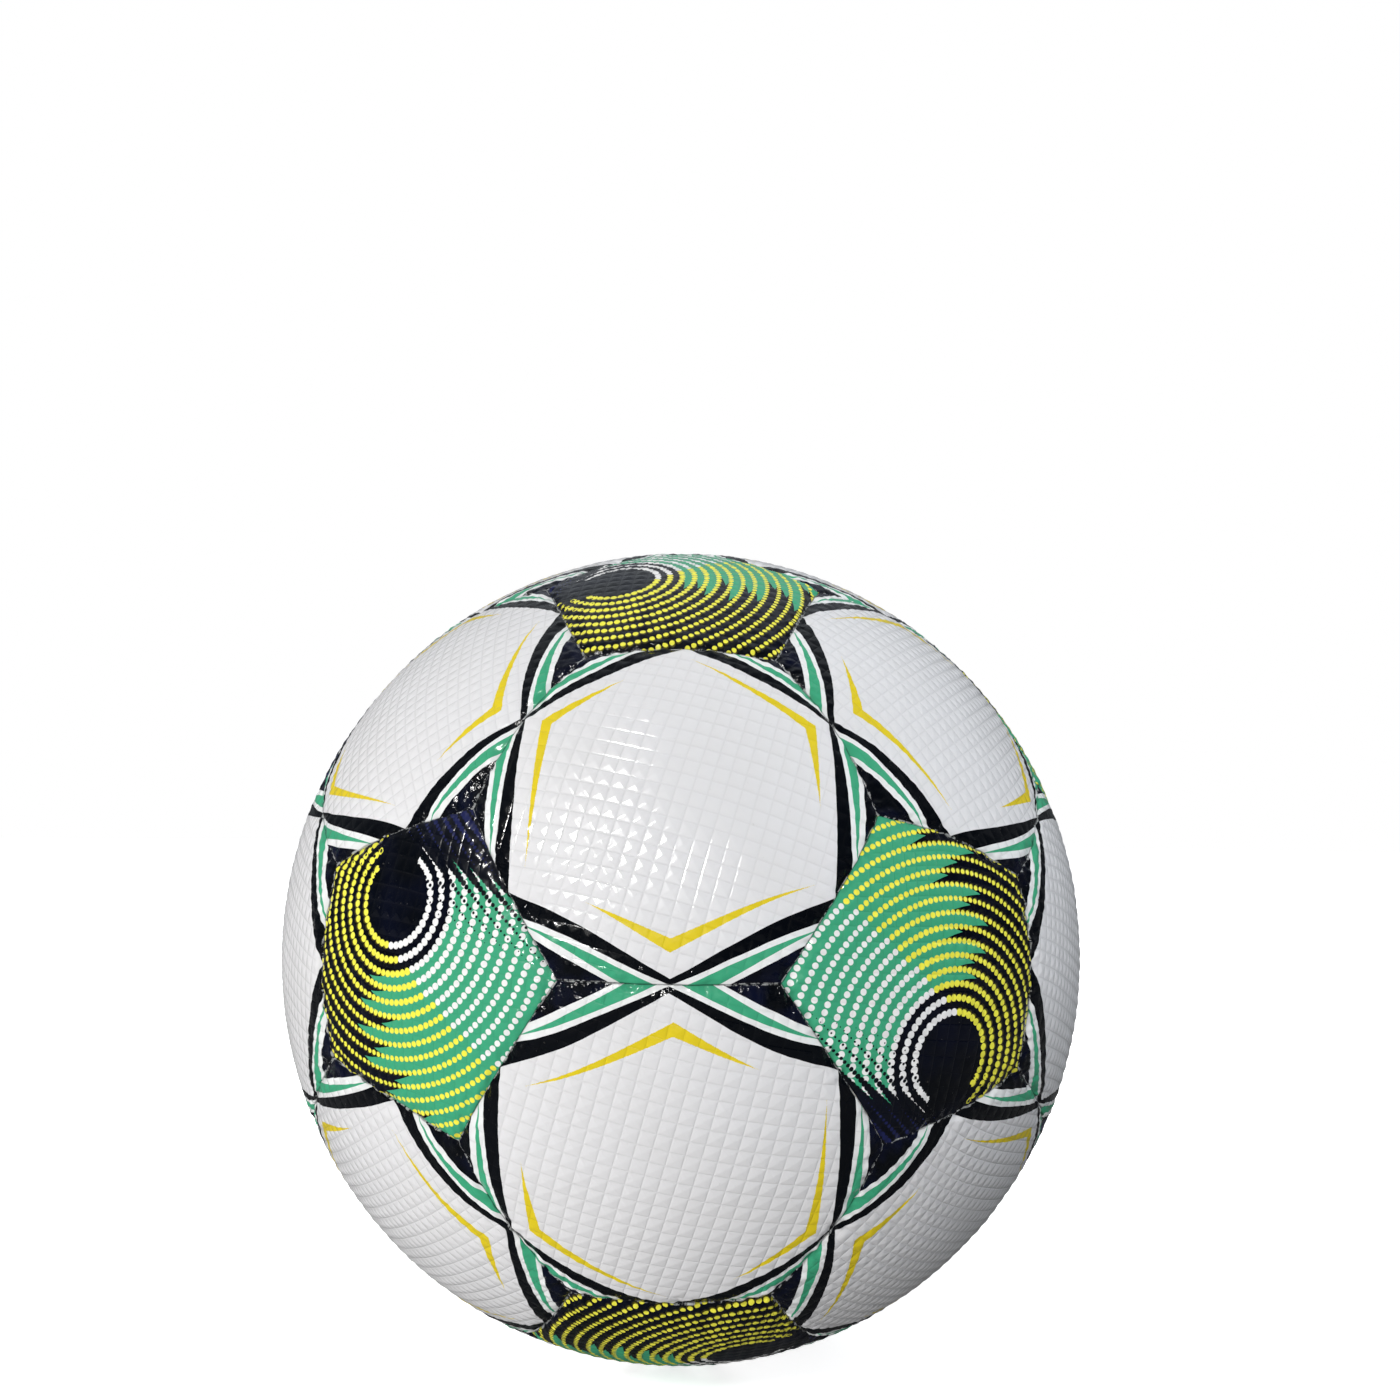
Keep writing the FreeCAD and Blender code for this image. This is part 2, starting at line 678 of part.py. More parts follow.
# ---------------------------------------------------------------------------
# Stop on any failed object or faulty shape, then write one file for each node
# ---------------------------------------------------------------------------
doc.recompute()
problems = []
for item in doc.Objects:
    for state in item.State:
        if state in ("Invalid", "Error"):
            problems.append("%s is %s" % (item.Name, state))
for node in sub_parts:
    shape = node.Shape
    if shape.isNull():
        problems.append("%s has no shape" % node.Label)
    elif not shape.isValid():
        problems.append("%s is not valid" % node.Label)
    elif not shape.Solids:
        problems.append("%s holds no solid" % node.Label)
if problems:
    raise RuntimeError("; ".join(problems))

os.makedirs("parts", exist_ok=True)
for node in sub_parts:
    node.Shape.exportStep(os.path.join("parts", node.Label + ".step"))
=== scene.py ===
"""Looks of a hand-stitched soccer ball: 20 hexagon and 12 pentagon covers with
an embossed pyramid grain, printed bands, chevrons and dotted rings, rolled
seams with stitch puckers, a rubber valve, and the studio around it.

The ball is centred on the origin with +Z up. The camera looks from -Y, so the
front is -Y and the camera's right is +X. Covers are worked out in millimetres
and the studio in metres."""
import math

import bpy
import numpy as np
from mathutils import Matrix, Vector


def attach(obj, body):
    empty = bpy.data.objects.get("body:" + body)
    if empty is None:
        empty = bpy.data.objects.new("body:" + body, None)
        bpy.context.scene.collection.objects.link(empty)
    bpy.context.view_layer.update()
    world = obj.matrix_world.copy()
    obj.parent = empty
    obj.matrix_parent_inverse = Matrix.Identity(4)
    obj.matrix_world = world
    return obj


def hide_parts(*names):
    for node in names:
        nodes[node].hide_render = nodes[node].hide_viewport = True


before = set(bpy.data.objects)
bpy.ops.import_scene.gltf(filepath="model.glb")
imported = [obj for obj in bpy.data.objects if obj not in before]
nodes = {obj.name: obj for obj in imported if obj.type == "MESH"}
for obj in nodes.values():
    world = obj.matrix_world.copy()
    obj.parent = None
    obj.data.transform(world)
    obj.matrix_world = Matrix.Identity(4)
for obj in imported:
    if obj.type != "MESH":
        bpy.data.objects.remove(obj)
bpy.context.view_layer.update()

MM = 0.001
R = 110.0                    # outside of the covers
SKIN_INSIDE = 108.6          # underside of a cover
FLANGE = 105.0               # depth the stitched edge reaches
GAP = 0.05                   # half the gap in a seam
LIP = 1.42                   # width of the flange, measured from the seam
BAND = 3.2                   # width of the rolled strip along a seam
PITCH = 3.333                # one embossed pyramid
STEPS = 8                    # mesh steps across one pyramid
EMBOSS = 0.205               # height of a pyramid
SKIN_DROP = 0.16             # smooth skin below R
STITCH = math.radians(2.7) * R
PHI = (1 + 5 ** 0.5) / 2
HEX_GRAIN = math.radians(-14.4)
PENT_GRAIN = math.radians(-5)

# ---------------------------------------------------------------- layout


def unit(v):
    v = np.array(v, float)
    return v / np.linalg.norm(v)


def signs(*values):
    """Every choice of sign for the values; a zero has only one."""
    out = [()]
    for v in values:
        out = [o + (s * v,) for o in out for s in ((1, -1) if v else (1,))]
    return out


hexagons = [unit(v) for v in signs(1, 1, 1) + signs(0, PHI, 1 / PHI)
            + signs(PHI, 1 / PHI, 0) + signs(1 / PHI, 0, PHI)]
pentagons = [unit(v) for v in signs(0, 1, PHI) + signs(1, PHI, 0) + signs(PHI, 0, 1)]
# Angle from the middle of a cover to the middle of one of its seams
HEX_EDGE = math.acos(max(float(hexagons[0] @ h) for h in hexagons[1:])) / 2
PENT_EDGE = math.acos(max(float(p @ hexagons[0]) for p in pentagons)) - HEX_EDGE


def node_centre(name):
    """Direction of a cover's centre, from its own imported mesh."""
    vertices = nodes[name].data.vertices
    co = np.empty(len(vertices) * 3, np.float32)
    vertices.foreach_get("co", co)
    co = co.reshape(-1, 3).astype(float)
    middle = unit((co.min(0) + co.max(0)) / 2)
    return max(hexagons + pentagons, key=lambda c: float(c @ middle))


def frame_from(normal, towards):
    """Rows x, y, z of a frame with z along normal and x leaning towards a place."""
    across = towards - normal * float(normal @ towards)
    across = across / np.linalg.norm(across)
    return np.array([across, np.cross(normal, across), normal])


# The seam each hexagon's grain is square to, keyed by octant, so that the
# grain turns from cover to cover.
GRAIN_TOWARDS = {
    (0, -1, 1): (0, -PHI, -1 / PHI), (0, -1, -1): (0, -PHI, 1 / PHI),
    (-1, -1, 1): (-PHI, -1 / PHI, 0), (1, -1, 1): (PHI, -1 / PHI, 0),
    (-1, -1, -1): (-PHI, -1 / PHI, 0), (1, -1, -1): (0, -PHI, -1 / PHI),
    (-1, -1, 0): (-PHI, 1 / PHI, 0), (1, -1, 0): (PHI, 1 / PHI, 0),
    (0, 1, 1): (0, PHI, -1 / PHI), (0, 1, -1): (0, PHI, 1 / PHI),
    (-1, 1, 0): (-PHI, -1 / PHI, 0), (1, 1, 0): (PHI, -1 / PHI, 0),
    (1, 0, 1): (-1 / PHI, 0, PHI), (-1, 0, 1): (1 / PHI, 0, PHI),
    (1, 0, -1): (-1 / PHI, 0, -PHI), (-1, 0, -1): (1 / PHI, 0, -PHI),
    (1, 1, 1): (PHI, 1 / PHI, 0), (-1, 1, 1): (0, PHI, 1 / PHI),
    (1, 1, -1): (0, PHI, -1 / PHI), (-1, 1, -1): (-PHI, 1 / PHI, 0),
}
# Where the print lies on each front hexagon: bands x, y, then chevrons x, y,
# in mm from the middle of the cover along its own axes.
PRINTED = {(0, -1, 1): (1.13, -0.15, 1.80, -0.35), (0, -1, -1): (2.10, -0.15, 3.10, 0.60),
           (-1, -1, 1): (-1.46, 1.87, -1.34, 2.85), (1, -1, 1): (-0.79, -2.01, -1.05, -2.68),
           (-1, -1, -1): (-0.10, -1.38, -0.07, -2.99), (1, -1, -1): (1.93, -0.30, 2.93, -1.46)}
# The same for the rings of the front pentagons: x, y and a turn in degrees.
RINGED = {(0, -1, 1): (7.0, 0.0, 1.0), (0, -1, -1): (8.4, 1.8, -5.0),
          (-1, -1, 0): (0.0, -0.5, -1.0), (1, -1, 0): (1.0, 1.5, -1.0)}


def octant(direction):
    """Sign of each part of a direction, 0 where it is small."""
    return tuple(int(round(math.copysign(1, c))) if abs(c) > 0.1 else 0 for c in direction)


def hexagon_axes(centre):
    return frame_from(centre, -unit(GRAIN_TOWARDS[octant(centre)]))


def pentagon_prints():
    """The printed rings face one way on one cover and are carried to the
    other eleven by the turns of a tetrahedron."""
    first = frame_from(unit((-1, -PHI, 0)), unit((1, -PHI, 0)))
    half_turns = [np.diag(d) for d in ([1., 1, 1], [1., -1, -1], [-1., 1, -1], [-1., -1, 1])]
    third_turn = np.array([[0, 0, -1], [1, 0, 0], [0, -1, 0]], float)
    out = {}
    for power in (np.eye(3), third_turn, third_turn @ third_turn):
        for half_turn in half_turns:
            axes = first @ (half_turn @ power).T
            out[nearest_pentagon(axes[2])] = axes
    return out


def nearest_pentagon(direction):
    return max(range(12), key=lambda i: float(pentagons[i] @ direction))


pentagon_axes = pentagon_prints()

# ---------------------------------------------------------------- flat geometry


def clip(poly, normal_x, normal_y, limit):
    """Part of a convex polygon where normal . point <= limit, and the rest."""
    keep, rest = [], []
    for i, start in enumerate(poly):
        end = poly[(i + 1) % len(poly)]
        start_over = normal_x * start[0] + normal_y * start[1] - limit
        end_over = normal_x * end[0] + normal_y * end[1] - limit
        (keep if start_over <= 0 else rest).append(start)
        if (start_over <= 0) != (end_over <= 0):
            part = start_over / (start_over - end_over)
            crossing = (start[0] + part * (end[0] - start[0]),
                        start[1] + part * (end[1] - start[1]))
            keep.append(crossing)
            rest.append(crossing)
    return keep, rest


def beyond(lines, x, y):
    """How far each place lies past the worst of several lines."""
    return np.max([normal_x * x + normal_y * y - limit
                   for normal_x, normal_y, limit in lines], axis=0)


def flat_to_plane(x, y):
    """Arc-length coordinates in mm to the tangent plane of a unit sphere."""
    radius = np.hypot(x, y)
    factor = np.where(radius > 1e-9, np.tan(radius / R) / np.maximum(radius, 1e-9), 1 / R)
    return x * factor, y * factor


def plane_to_flat(x, y):
    radius = np.hypot(x, y)
    factor = np.where(radius > 1e-9, R * np.arctan(radius) / np.maximum(radius, 1e-9), R)
    return x * factor, y * factor


def place_key(x, y):
    """Key that merges points that fall together on the plane."""
    return round(x * 4e6), round(y * 4e6)


# How far hand stitching has drawn each place on the front away from its even
# position: direction of the place, then the pull as a fraction of the radius.
DRAWN = np.array([
    (0.0, -1.0, 0.0, 0.0021, -0.00194, -0.00525),
    (-0.309, -0.809, 0.5, -0.00488, 0.01587, 0.02325),
    (0.309, -0.809, 0.5, 0.00508, 0.01978, 0.02849),
    (-0.309, -0.809, -0.5, -0.00119, 0.00104, -0.00249),
    (0.309, -0.809, -0.5, 0.00293, 0.00039, -0.00162),
    (-0.809, -0.5, 0.309, -0.01096, 0.02049, 0.00182),
    (-0.809, -0.5, -0.309, -0.00081, 0.01048, -0.01671),
    (0.809, -0.5, 0.309, 0.00592, 0.02324, 0.02276),
    (0.809, -0.5, -0.309, -4e-05, -0.004, 0.00552),
    (-0.2018, -0.9794, 0.0, -0.01568, 0.00354, 0.00518),
    (0.2018, -0.9794, 0.0, 0.00573, 0.00167, 0.00358),
    (-0.4035, -0.8547, 0.3265, -0.01491, 0.00135, -0.02209),
    (0.4035, -0.8547, 0.3265, 0.01214, -0.00616, -0.03326),
    (-0.4035, -0.8547, -0.3265, -0.0277, 0.01706, -0.00323),
    (0.4035, -0.8547, -0.3265, 0.02511, 0.01306, 0.00621),
    (-0.73, -0.653, 0.2018, -0.00534, -0.00103, -0.00415),
    (-0.73, -0.653, -0.2018, 0.0009, -0.0055, 0.00662),
    (0.73, -0.653, 0.2018, 0.00623, -0.01047, -0.04711),
    (0.73, -0.653, -0.2018, 0.0017, 0.00577, -0.01935),
    (-0.2018, -0.73, 0.653, -0.00099, -0.0157, -0.0168),
    (0.2018, -0.73, 0.653, -0.00257, -0.01845, -0.02158),
    (-0.7454, -0.6667, 0.0, -0.019, 0.02029, -0.01066),
    (0.7454, -0.6667, 0.0, 0.01627, 0.01796, 0.03352),
    (-0.5787, -0.7697, 0.2697, 0.02976, -0.01387, 0.02485),
    (0.5787, -0.7697, 0.2697, -0.02358, -0.00379, 0.03874),
    (-0.5787, -0.7697, -0.2697, 0.02913, -0.02197, 0.00667),
    (0.5787, -0.7697, -0.2697, -0.02438, -0.01541, -0.00765),
    (0.0, -0.7454, 0.6667, 0.01325, 0.01399, 0.0139)])
DRAWN_WIDTH = math.radians(13)


def drawn(where):
    """Directions after the pull of the stitching; seams stay shared."""
    angle = np.arccos(np.clip(where @ DRAWN[:, :3].T, -1, 1))
    moved = where + np.exp(-(angle / DRAWN_WIDTH) ** 2) @ DRAWN[:, 3:]
    return moved / np.linalg.norm(moved, axis=1)[:, None]


def bell(distance, width):
    return np.exp(-(distance / width) ** 2)


def waves(rng, where, count, length, spread):
    """Random ripples over the sphere, of about the given wavelength in mm."""
    total = np.zeros(len(where))
    for _ in range(count):
        k = rng.normal(size=3)
        k = (k / np.linalg.norm(k) * 2 * math.pi
             / (length * rng.uniform(1 - spread, 1 + spread)))
        total += np.sin(where @ k * R + rng.uniform(0, 2 * math.pi))
    return total / math.sqrt(count)


# ---------------------------------------------------------------- cover mesh

INSIDE = 2.0                 # depth code of the inside skin
AWAY = 9.0                   # seam distance given to points clear of the seams
# Rows from the skin over the rolled edge and down the wall: distance from the
# seam in mm, depth code
EDGE_ROWS = [(seam, 0.0) for seam in (2.75, 2.35, 2.0, 1.7, 1.42, 1.17, 0.94, 0.74,
                                      0.56, 0.41, 0.28, 0.18, 0.1, GAP)]
EDGE_ROWS += [(GAP, 0.35), (GAP, 0.7), (GAP, 1.0), (LIP, 1.0), (LIP, INSIDE)]
INSIDE_ROWS = (0.85, 0.68, 0.51, 0.34, 0.17)     # inside skin, as parts of its outline
# Rows into the valve mouth: radius in mm, depth code
MOUTH_ROWS = ((6.8, 0.0), (6.2, 0.0), (5.7, 0.0), (5.35, -0.02), (5.1, -0.06), (4.9, -0.13),
              (4.76, -0.24), (4.68, -0.4), (4.66, -0.7), (4.66, -1.4))
MOUTH_SIDES = 40
MOUTH_REACH = math.tan(7.4 / R)      # where the grid stops around the mouth
MOUTH_LINES = [(math.cos(k * (math.tau / MOUTH_SIDES)), math.sin(k * (math.tau / MOUTH_SIDES)),
                MOUTH_REACH) for k in range(MOUTH_SIDES)]
RIM_SPLIT = 0.15             # plane radius between the mouth and the outer rim


class Cover:
    """Points and triangles of one cover in its own frame, its middle on +Z.

    x and y lie on the plane touching a unit sphere at the middle. seam is the
    distance in mm from the nearest seam. depth is 0 on the outside skin, rises
    to 1 down the stitched wall, is 2 on the inside skin, and below 0 it is the
    height in mm of the valve mouth.
    """

    def __init__(self, sides, edge, first_side, grain_turn, phase, holed):
        self.sides, self.edge, self.holed = sides, edge, holed
        self.grain_turn, self.phase = grain_turn, phase
        self.normals = [(math.cos(first_side + 2 * math.pi * k / sides),
                         math.sin(first_side + 2 * math.pi * k / sides)) for k in range(sides)]
        self.skin_reach = math.tan(edge - BAND / R)
        self.skin_lines = [(*normal, self.skin_reach) for normal in self.normals]
        self.rows, self.faces = [], []
        self.build()
        self.x, self.y, self.seam, self.depth = np.concatenate(self.rows, axis=1)
        self.faces = np.concatenate(self.faces)

    def build(self):
        x, y, skin = self.cut_skin()
        self.add(x, y, self.seam_distance(x, y), 0.0)
        self.faces.append(skin)
        # the skin's open edges: its outer rim and, with a valve, the mouth's
        edges = np.sort(np.concatenate([skin[:, [0, 1]], skin[:, [1, 2]], skin[:, [2, 0]]]), 1)
        keys, uses = np.unique(edges[:, 0].astype(np.int64) * len(x) + edges[:, 1],
                               return_counts=True)
        rim = np.unique(np.divmod(keys[uses == 1], len(x)))
        rim = rim[np.argsort(np.arctan2(y[rim], x[rim]))]
        is_outer = np.hypot(x[rim], y[rim]) > RIM_SPLIT
        outer, mouth = rim[is_outer], rim[~is_outer]

        row = outer
        for seam, depth in EDGE_ROWS:
            grow = math.tan(self.edge - seam / R) / self.skin_reach
            lip_x, lip_y = x[outer] * grow, y[outer] * grow
            row = self.extend(row, lip_x, lip_y, seam, depth)
        if not self.holed:
            for part in INSIDE_ROWS:
                row = self.extend(row, lip_x * part, lip_y * part, AWAY, INSIDE)
            centre = self.add(np.zeros(1), np.zeros(1), AWAY, INSIDE)
            self.faces.append(np.stack([row, np.full(len(row), centre[0]),
                                        np.roll(row, -1)], -1))
            return
        # inside skin: the outside's own triangles turned over
        under = self.add(x, y, AWAY, INSIDE)
        self.bridge(row, under[outer])
        self.faces.append(under[skin][:, ::-1])
        row = mouth
        mouth_x, mouth_y = x[mouth], y[mouth]
        mouth_radius = np.hypot(mouth_x, mouth_y)
        for radius, depth in MOUTH_ROWS:
            grow = math.tan(radius / R) / mouth_radius
            row = self.extend(row, mouth_x * grow, mouth_y * grow, AWAY, depth, flip=True)
        self.bridge(row, under[mouth], flip=True)

    def grid(self):
        """Square grid in step with the grain, wider than the cover."""
        step = PITCH / STEPS
        reach = R * (self.edge / math.cos(math.pi / self.sides) + 0.04)
        half = int(reach / step / STEPS + 2) * STEPS
        steps = np.arange(-half, half + 1)
        column, line = np.meshgrid(steps, steps, indexing="ij")
        grain_x = column * step - self.phase[0] * PITCH
        grain_y = line * step - self.phase[1] * PITCH
        cos, sin = math.cos(self.grain_turn), math.sin(self.grain_turn)
        x, y = flat_to_plane(cos * grain_x - sin * grain_y, sin * grain_x + cos * grain_y)
        ids = np.arange(x.size).reshape(x.shape)
        v00, v10, v01, v11 = ids[:-1, :-1], ids[1:, :-1], ids[:-1, 1:], ids[1:, 1:]
        # the diagonal runs towards the middle of the pyramid the square is in
        first_half = [(axis[:-1, :-1] % STEPS) < STEPS // 2 for axis in (column, line)]
        rising = (first_half[0] == first_half[1])[..., None]
        lower = np.where(rising, np.stack([v00, v10, v11], -1), np.stack([v00, v10, v01], -1))
        upper = np.where(rising, np.stack([v00, v11, v01], -1), np.stack([v10, v11, v01], -1))
        triangles = np.concatenate([lower.reshape(-1, 3), upper.reshape(-1, 3)])
        return x.reshape(-1), y.reshape(-1), triangles

    def pieces(self, poly):
        """Convex parts of a grid triangle that lie on the outside skin."""
        for line in self.skin_lines:
            poly, _ = clip(poly, *line)
            if len(poly) < 3:
                return []
        if not self.holed:
            return [poly]
        parts = []
        for line in MOUTH_LINES:
            poly, outside = clip(poly, *line)
            if len(outside) >= 3:
                parts.append(outside)
            if len(poly) < 3:
                break
        return parts

    def cut_skin(self):
        """The grid trimmed to the rolled edge and the valve mouth."""
        x, y, triangles = self.grid()
        over = beyond(self.skin_lines, x, y)
        inside = over <= 0
        if self.holed:
            inside &= beyond(MOUTH_LINES, x, y) >= 0
        whole = inside[triangles].all(1)
        near = (over[triangles] < 0.02).any(1)
        cut = triangles[~whole & near]
        number = {place_key(x[v], y[v]): int(v) for v in np.unique(cut)}
        extra, fans = [], []
        for triangle in cut:
            for poly in self.pieces([(float(x[v]), float(y[v])) for v in triangle]):
                ring = []
                for point in poly:
                    key = place_key(*point)
                    if key not in number:
                        number[key] = len(x) + len(extra)
                        extra.append(point)
                    ring.append(number[key])
                ring = [v for k, v in enumerate(ring) if v != ring[k - 1]]
                for k in range(1, len(ring) - 1):
                    fan = (ring[0], ring[k], ring[k + 1])
                    if len(set(fan)) == 3:
                        fans.append(fan)
        extra_x, extra_y = zip(*extra)
        triangles = np.concatenate([triangles[whole], np.array(fans, int)])
        used, inverse = np.unique(triangles, return_inverse=True)
        triangles = inverse.reshape(-1, 3)
        x = np.concatenate([x, extra_x])[used]
        y = np.concatenate([y, extra_y])[used]
        x0, x1, x2 = x[triangles].T
        y0, y1, y2 = y[triangles].T
        area = (x1 - x0) * (y2 - y0) - (y1 - y0) * (x2 - x0)
        return x, y, triangles[np.abs(area) > 1e-13]

    def add(self, x, y, seam, depth):
        """Add a row of points and return their numbers."""
        start = sum(len(row[0]) for row in self.rows)
        self.rows.append(np.broadcast_arrays(x, y, seam, depth))
        return start + np.arange(len(x))

    def bridge(self, row, new, flip=False):
        """Closed strip of triangles between two rows."""
        row_next, new_next = np.roll(row, -1), np.roll(new, -1)
        strip = np.concatenate([np.stack([row, new, new_next], -1),
                                np.stack([row, new_next, row_next], -1)])
        self.faces.append(strip[:, ::-1] if flip else strip)

    def extend(self, row, x, y, seam, depth, flip=False):
        new = self.add(x, y, seam, depth)
        self.bridge(row, new, flip)
        return new

    def seam_distance(self, x, y):
        """Distance in mm from the nearest seam."""
        return np.min([(self.edge - np.arctan(normal_x * x + normal_y * y)) * R
                       for normal_x, normal_y in self.normals], axis=0)

    def along_seam(self):
        """Place along the nearest seam and distance from its end, in mm."""
        side = np.argmax([normal_x * self.x + normal_y * self.y
                          for normal_x, normal_y in self.normals], axis=0)
        normal_x, normal_y = np.array(self.normals)[side].T
        across = normal_x * self.x + normal_y * self.y
        along = np.arctan((-normal_y * self.x + normal_x * self.y)
                          / np.sqrt(1 + across ** 2)) * R
        half_side = math.atan(math.tan(self.edge) * math.tan(math.pi / self.sides)
                              / math.sqrt(1 + math.tan(self.edge) ** 2)) * R
        return along, np.clip(half_side - np.abs(along), 0, None)

    def shape(self, axes, seed):
        """World points in mm, print x and y in mm, and the grain's lattice."""
        rng = np.random.default_rng(seed)
        seam, depth = self.seam, self.depth
        x, y = plane_to_flat(self.x, self.y)
        length = np.sqrt(1 + self.x ** 2 + self.y ** 2)
        where = np.stack([self.x / length, self.y / length, 1 / length], -1) @ axes
        broad = waves(rng, where, count=7, length=16, spread=.35)
        mid = waves(rng, where, count=9, length=6.5, spread=.4)
        fine = waves(rng, where, count=14, length=2.6, spread=.4)

        # pyramids: grain_x and grain_y count them, fade flattens them near seam and mouth
        cos, sin = math.cos(self.grain_turn), math.sin(self.grain_turn)
        grain_x = (cos * x + sin * y) / PITCH + self.phase[0]
        grain_y = (-sin * x + cos * y) / PITCH + self.phase[1]
        pyramid = 1 - np.maximum(np.abs((grain_x % 1) - 0.5), np.abs((grain_y % 1) - 0.5)) * 2
        fade = np.clip((seam - 0.9) / 2.6, 0, 1)
        fade = fade * fade * (3 - 2 * fade)
        if self.holed:
            fade = fade * np.clip((np.hypot(x, y) - 7.2) / 2.0, 0, 1)
        emboss = EMBOSS * fade * (1 + 0.16 * broad) * (1 - pyramid)

        # rolled edge, stitch puckers, sunk corners, creases and a slight swell,
        # each a height in mm that dies away from the seam over a width in mm
        along, corner = self.along_seam()
        stitch = np.cos(2 * math.pi * (along / STITCH - 0.5) + 0.35 * mid)
        roll = 0.30 * np.exp(-seam / 0.40) + 0.60 * bell(seam, width=2.2)
        pull = 0.16 * np.exp(-(seam / 1.9) ** 1.5) * (1 + 0.9 * stitch)
        dip = 0.20 * bell(corner, width=3.0) * bell(seam, width=3.0)
        crease = (0.16 * fine + 0.14 * mid) * bell(seam, width=2.9)
        crease += 0.075 * fine * bell(corner, width=11) * bell(seam, width=7)
        swell = 0.02 * mid + 0.05 * broad
        radius = R - SKIN_DROP - emboss - roll - pull - dip + crease + swell
        radius = np.minimum(radius, R - 0.02)
        low, softness = R - 1.25, 0.08       # never down to the pads below
        radius = low + np.logaddexp(0, (radius - low) / softness) * softness

        wall = (depth > 0) & (depth <= 1.0)
        radius = np.where(wall, radius + (FLANGE - radius) * depth, radius)
        radius = np.where(depth >= INSIDE, SKIN_INSIDE - 0.15, radius)
        radius = np.where(depth < 0, R - SKIN_DROP + depth, radius)
        place = drawn(where)
        lattice = np.stack([grain_x, grain_y, fade], -1)
        if self.sides == 5:      # the rings keep their place under the drawn seams
            back = place @ axes.T
            x, y = plane_to_flat(back[:, 0] / back[:, 2], back[:, 1] / back[:, 2])
        return place * radius[:, None], x, y, lattice


def link_object(name, data):
    obj = bpy.data.objects.new(name, data)
    bpy.context.scene.collection.objects.link(obj)
    return obj


def cover_object(name, points, faces, values, material):
    """Smooth triangle mesh with its attributes: name -> (kind, data)."""
    mesh = bpy.data.meshes.new(name)
    mesh.vertices.add(len(points))
    mesh.vertices.foreach_set("co", (points * MM).astype(np.float32).ravel())
    mesh.loops.add(len(faces) * 3)
    mesh.loops.foreach_set("vertex_index", faces.astype(np.int32).ravel())
    mesh.polygons.add(len(faces))
    mesh.polygons.foreach_set("loop_start", np.arange(0, len(faces) * 3, 3, dtype=np.int32))
    mesh.polygons.foreach_set("use_smooth", np.ones(len(faces), bool))
    for key, (kind, data) in values.items():
        layer = mesh.attributes.new(key, kind, "POINT")
        layer.data.foreach_set("vector" if kind == "FLOAT_VECTOR" else "value",
                               np.ascontiguousarray(data, np.float32).ravel())
    mesh.update(calc_edges=True)
    mesh.validate()
    mesh.materials.append(material)
    return link_object(name, mesh)


# ---------------------------------------------------------------- node maths


def feed(tree, item, socket):
    """Link a Value or an output to a socket, or set the socket to a constant."""
    item = item.source if isinstance(item, Value) else item
    if isinstance(item, (int, float, tuple)):
        socket.default_value = item
    else:
        tree.links.new(item, socket)


class Value:
    """A number in a node tree, so that a print can be written as a formula."""

    def __init__(self, tree, source):
        self.tree, self.source = tree, source

    def op(self, kind, *others, clamp=False):
        node = self.tree.nodes.new("ShaderNodeMath")
        node.operation = kind
        node.use_clamp = clamp
        for i, item in enumerate((self,) + others):
            feed(self.tree, item, node.inputs[i])
        return Value(self.tree, node.outputs[0])

    def __add__(self, o): return self.op("ADD", o)
    def __radd__(self, o): return self.op("ADD", o)
    def __sub__(self, o): return self.op("SUBTRACT", o)
    def __rsub__(self, o): return Value(self.tree, float(o)).op("SUBTRACT", self)
    def __mul__(self, o): return self.op("MULTIPLY", o)
    def __truediv__(self, o): return self.op("DIVIDE", o)
    def sin(self): return self.op("SINE")
    def cos(self): return self.op("COSINE")
    def sqrt(self): return self.op("SQRT")
    def abs(self): return self.op("ABSOLUTE")
    def floor(self): return self.op("FLOOR")
    def round(self): return self.op("ROUND")
    def fract(self): return self.op("FRACT")
    def atan2(self, o): return self.op("ARCTAN2", o)
    def wrap(self, high, low): return self.op("WRAP", high, low)
    def max(self, o): return self.op("MAXIMUM", o)
    def min(self, o): return self.op("MINIMUM", o)
    def clamped(self): return self.op("ADD", 0.0, clamp=True)

    def above(self, o, soft=0.05):
        """0 below o and 1 above it, with a thin soft edge."""
        return ((self - o) / soft + 0.5).clamped()

    def below(self, o, soft=0.05):
        return 1.0 - self.above(o, soft)

    def rise(self, over, start=None):
        """0 up to start, then a straight rise to 1 over a length."""
        run = self if start is None else self - start
        return (run / over).clamped()

    def fall(self, over, start=None):
        return 1.0 - self.rise(over, start)

    def ramp(self, *pairs):
        """Straight lines between (x, y) pairs."""
        node = self.tree.nodes.new("ShaderNodeValToRGB")
        low, high = pairs[0][0], pairs[-1][0]
        top = max(y for _, y in pairs)
        feed(self.tree, (self - low) / (high - low), node.inputs[0])
        elements = node.color_ramp.elements      # starts with one at 0 and one at 1
        for x, _ in pairs[1:-1]:
            elements.new((x - low) / (high - low))
        for element, (_, y) in zip(elements, pairs):
            element.color = (y / top,) * 3 + (1,)
        out = self.tree.nodes.new("ShaderNodeSeparateColor")
        self.tree.links.new(node.outputs[0], out.inputs[0])
        return Value(self.tree, out.outputs[0]) * top


def srgb(*channels):
    """Linear colour from 0-255 sRGB."""
    def linear(c):
        c = c / 255
        return c / 12.92 if c <= 0.04045 else ((c + 0.055) / 1.055) ** 2.4
    return tuple(linear(c) for c in channels) + (1.0,)


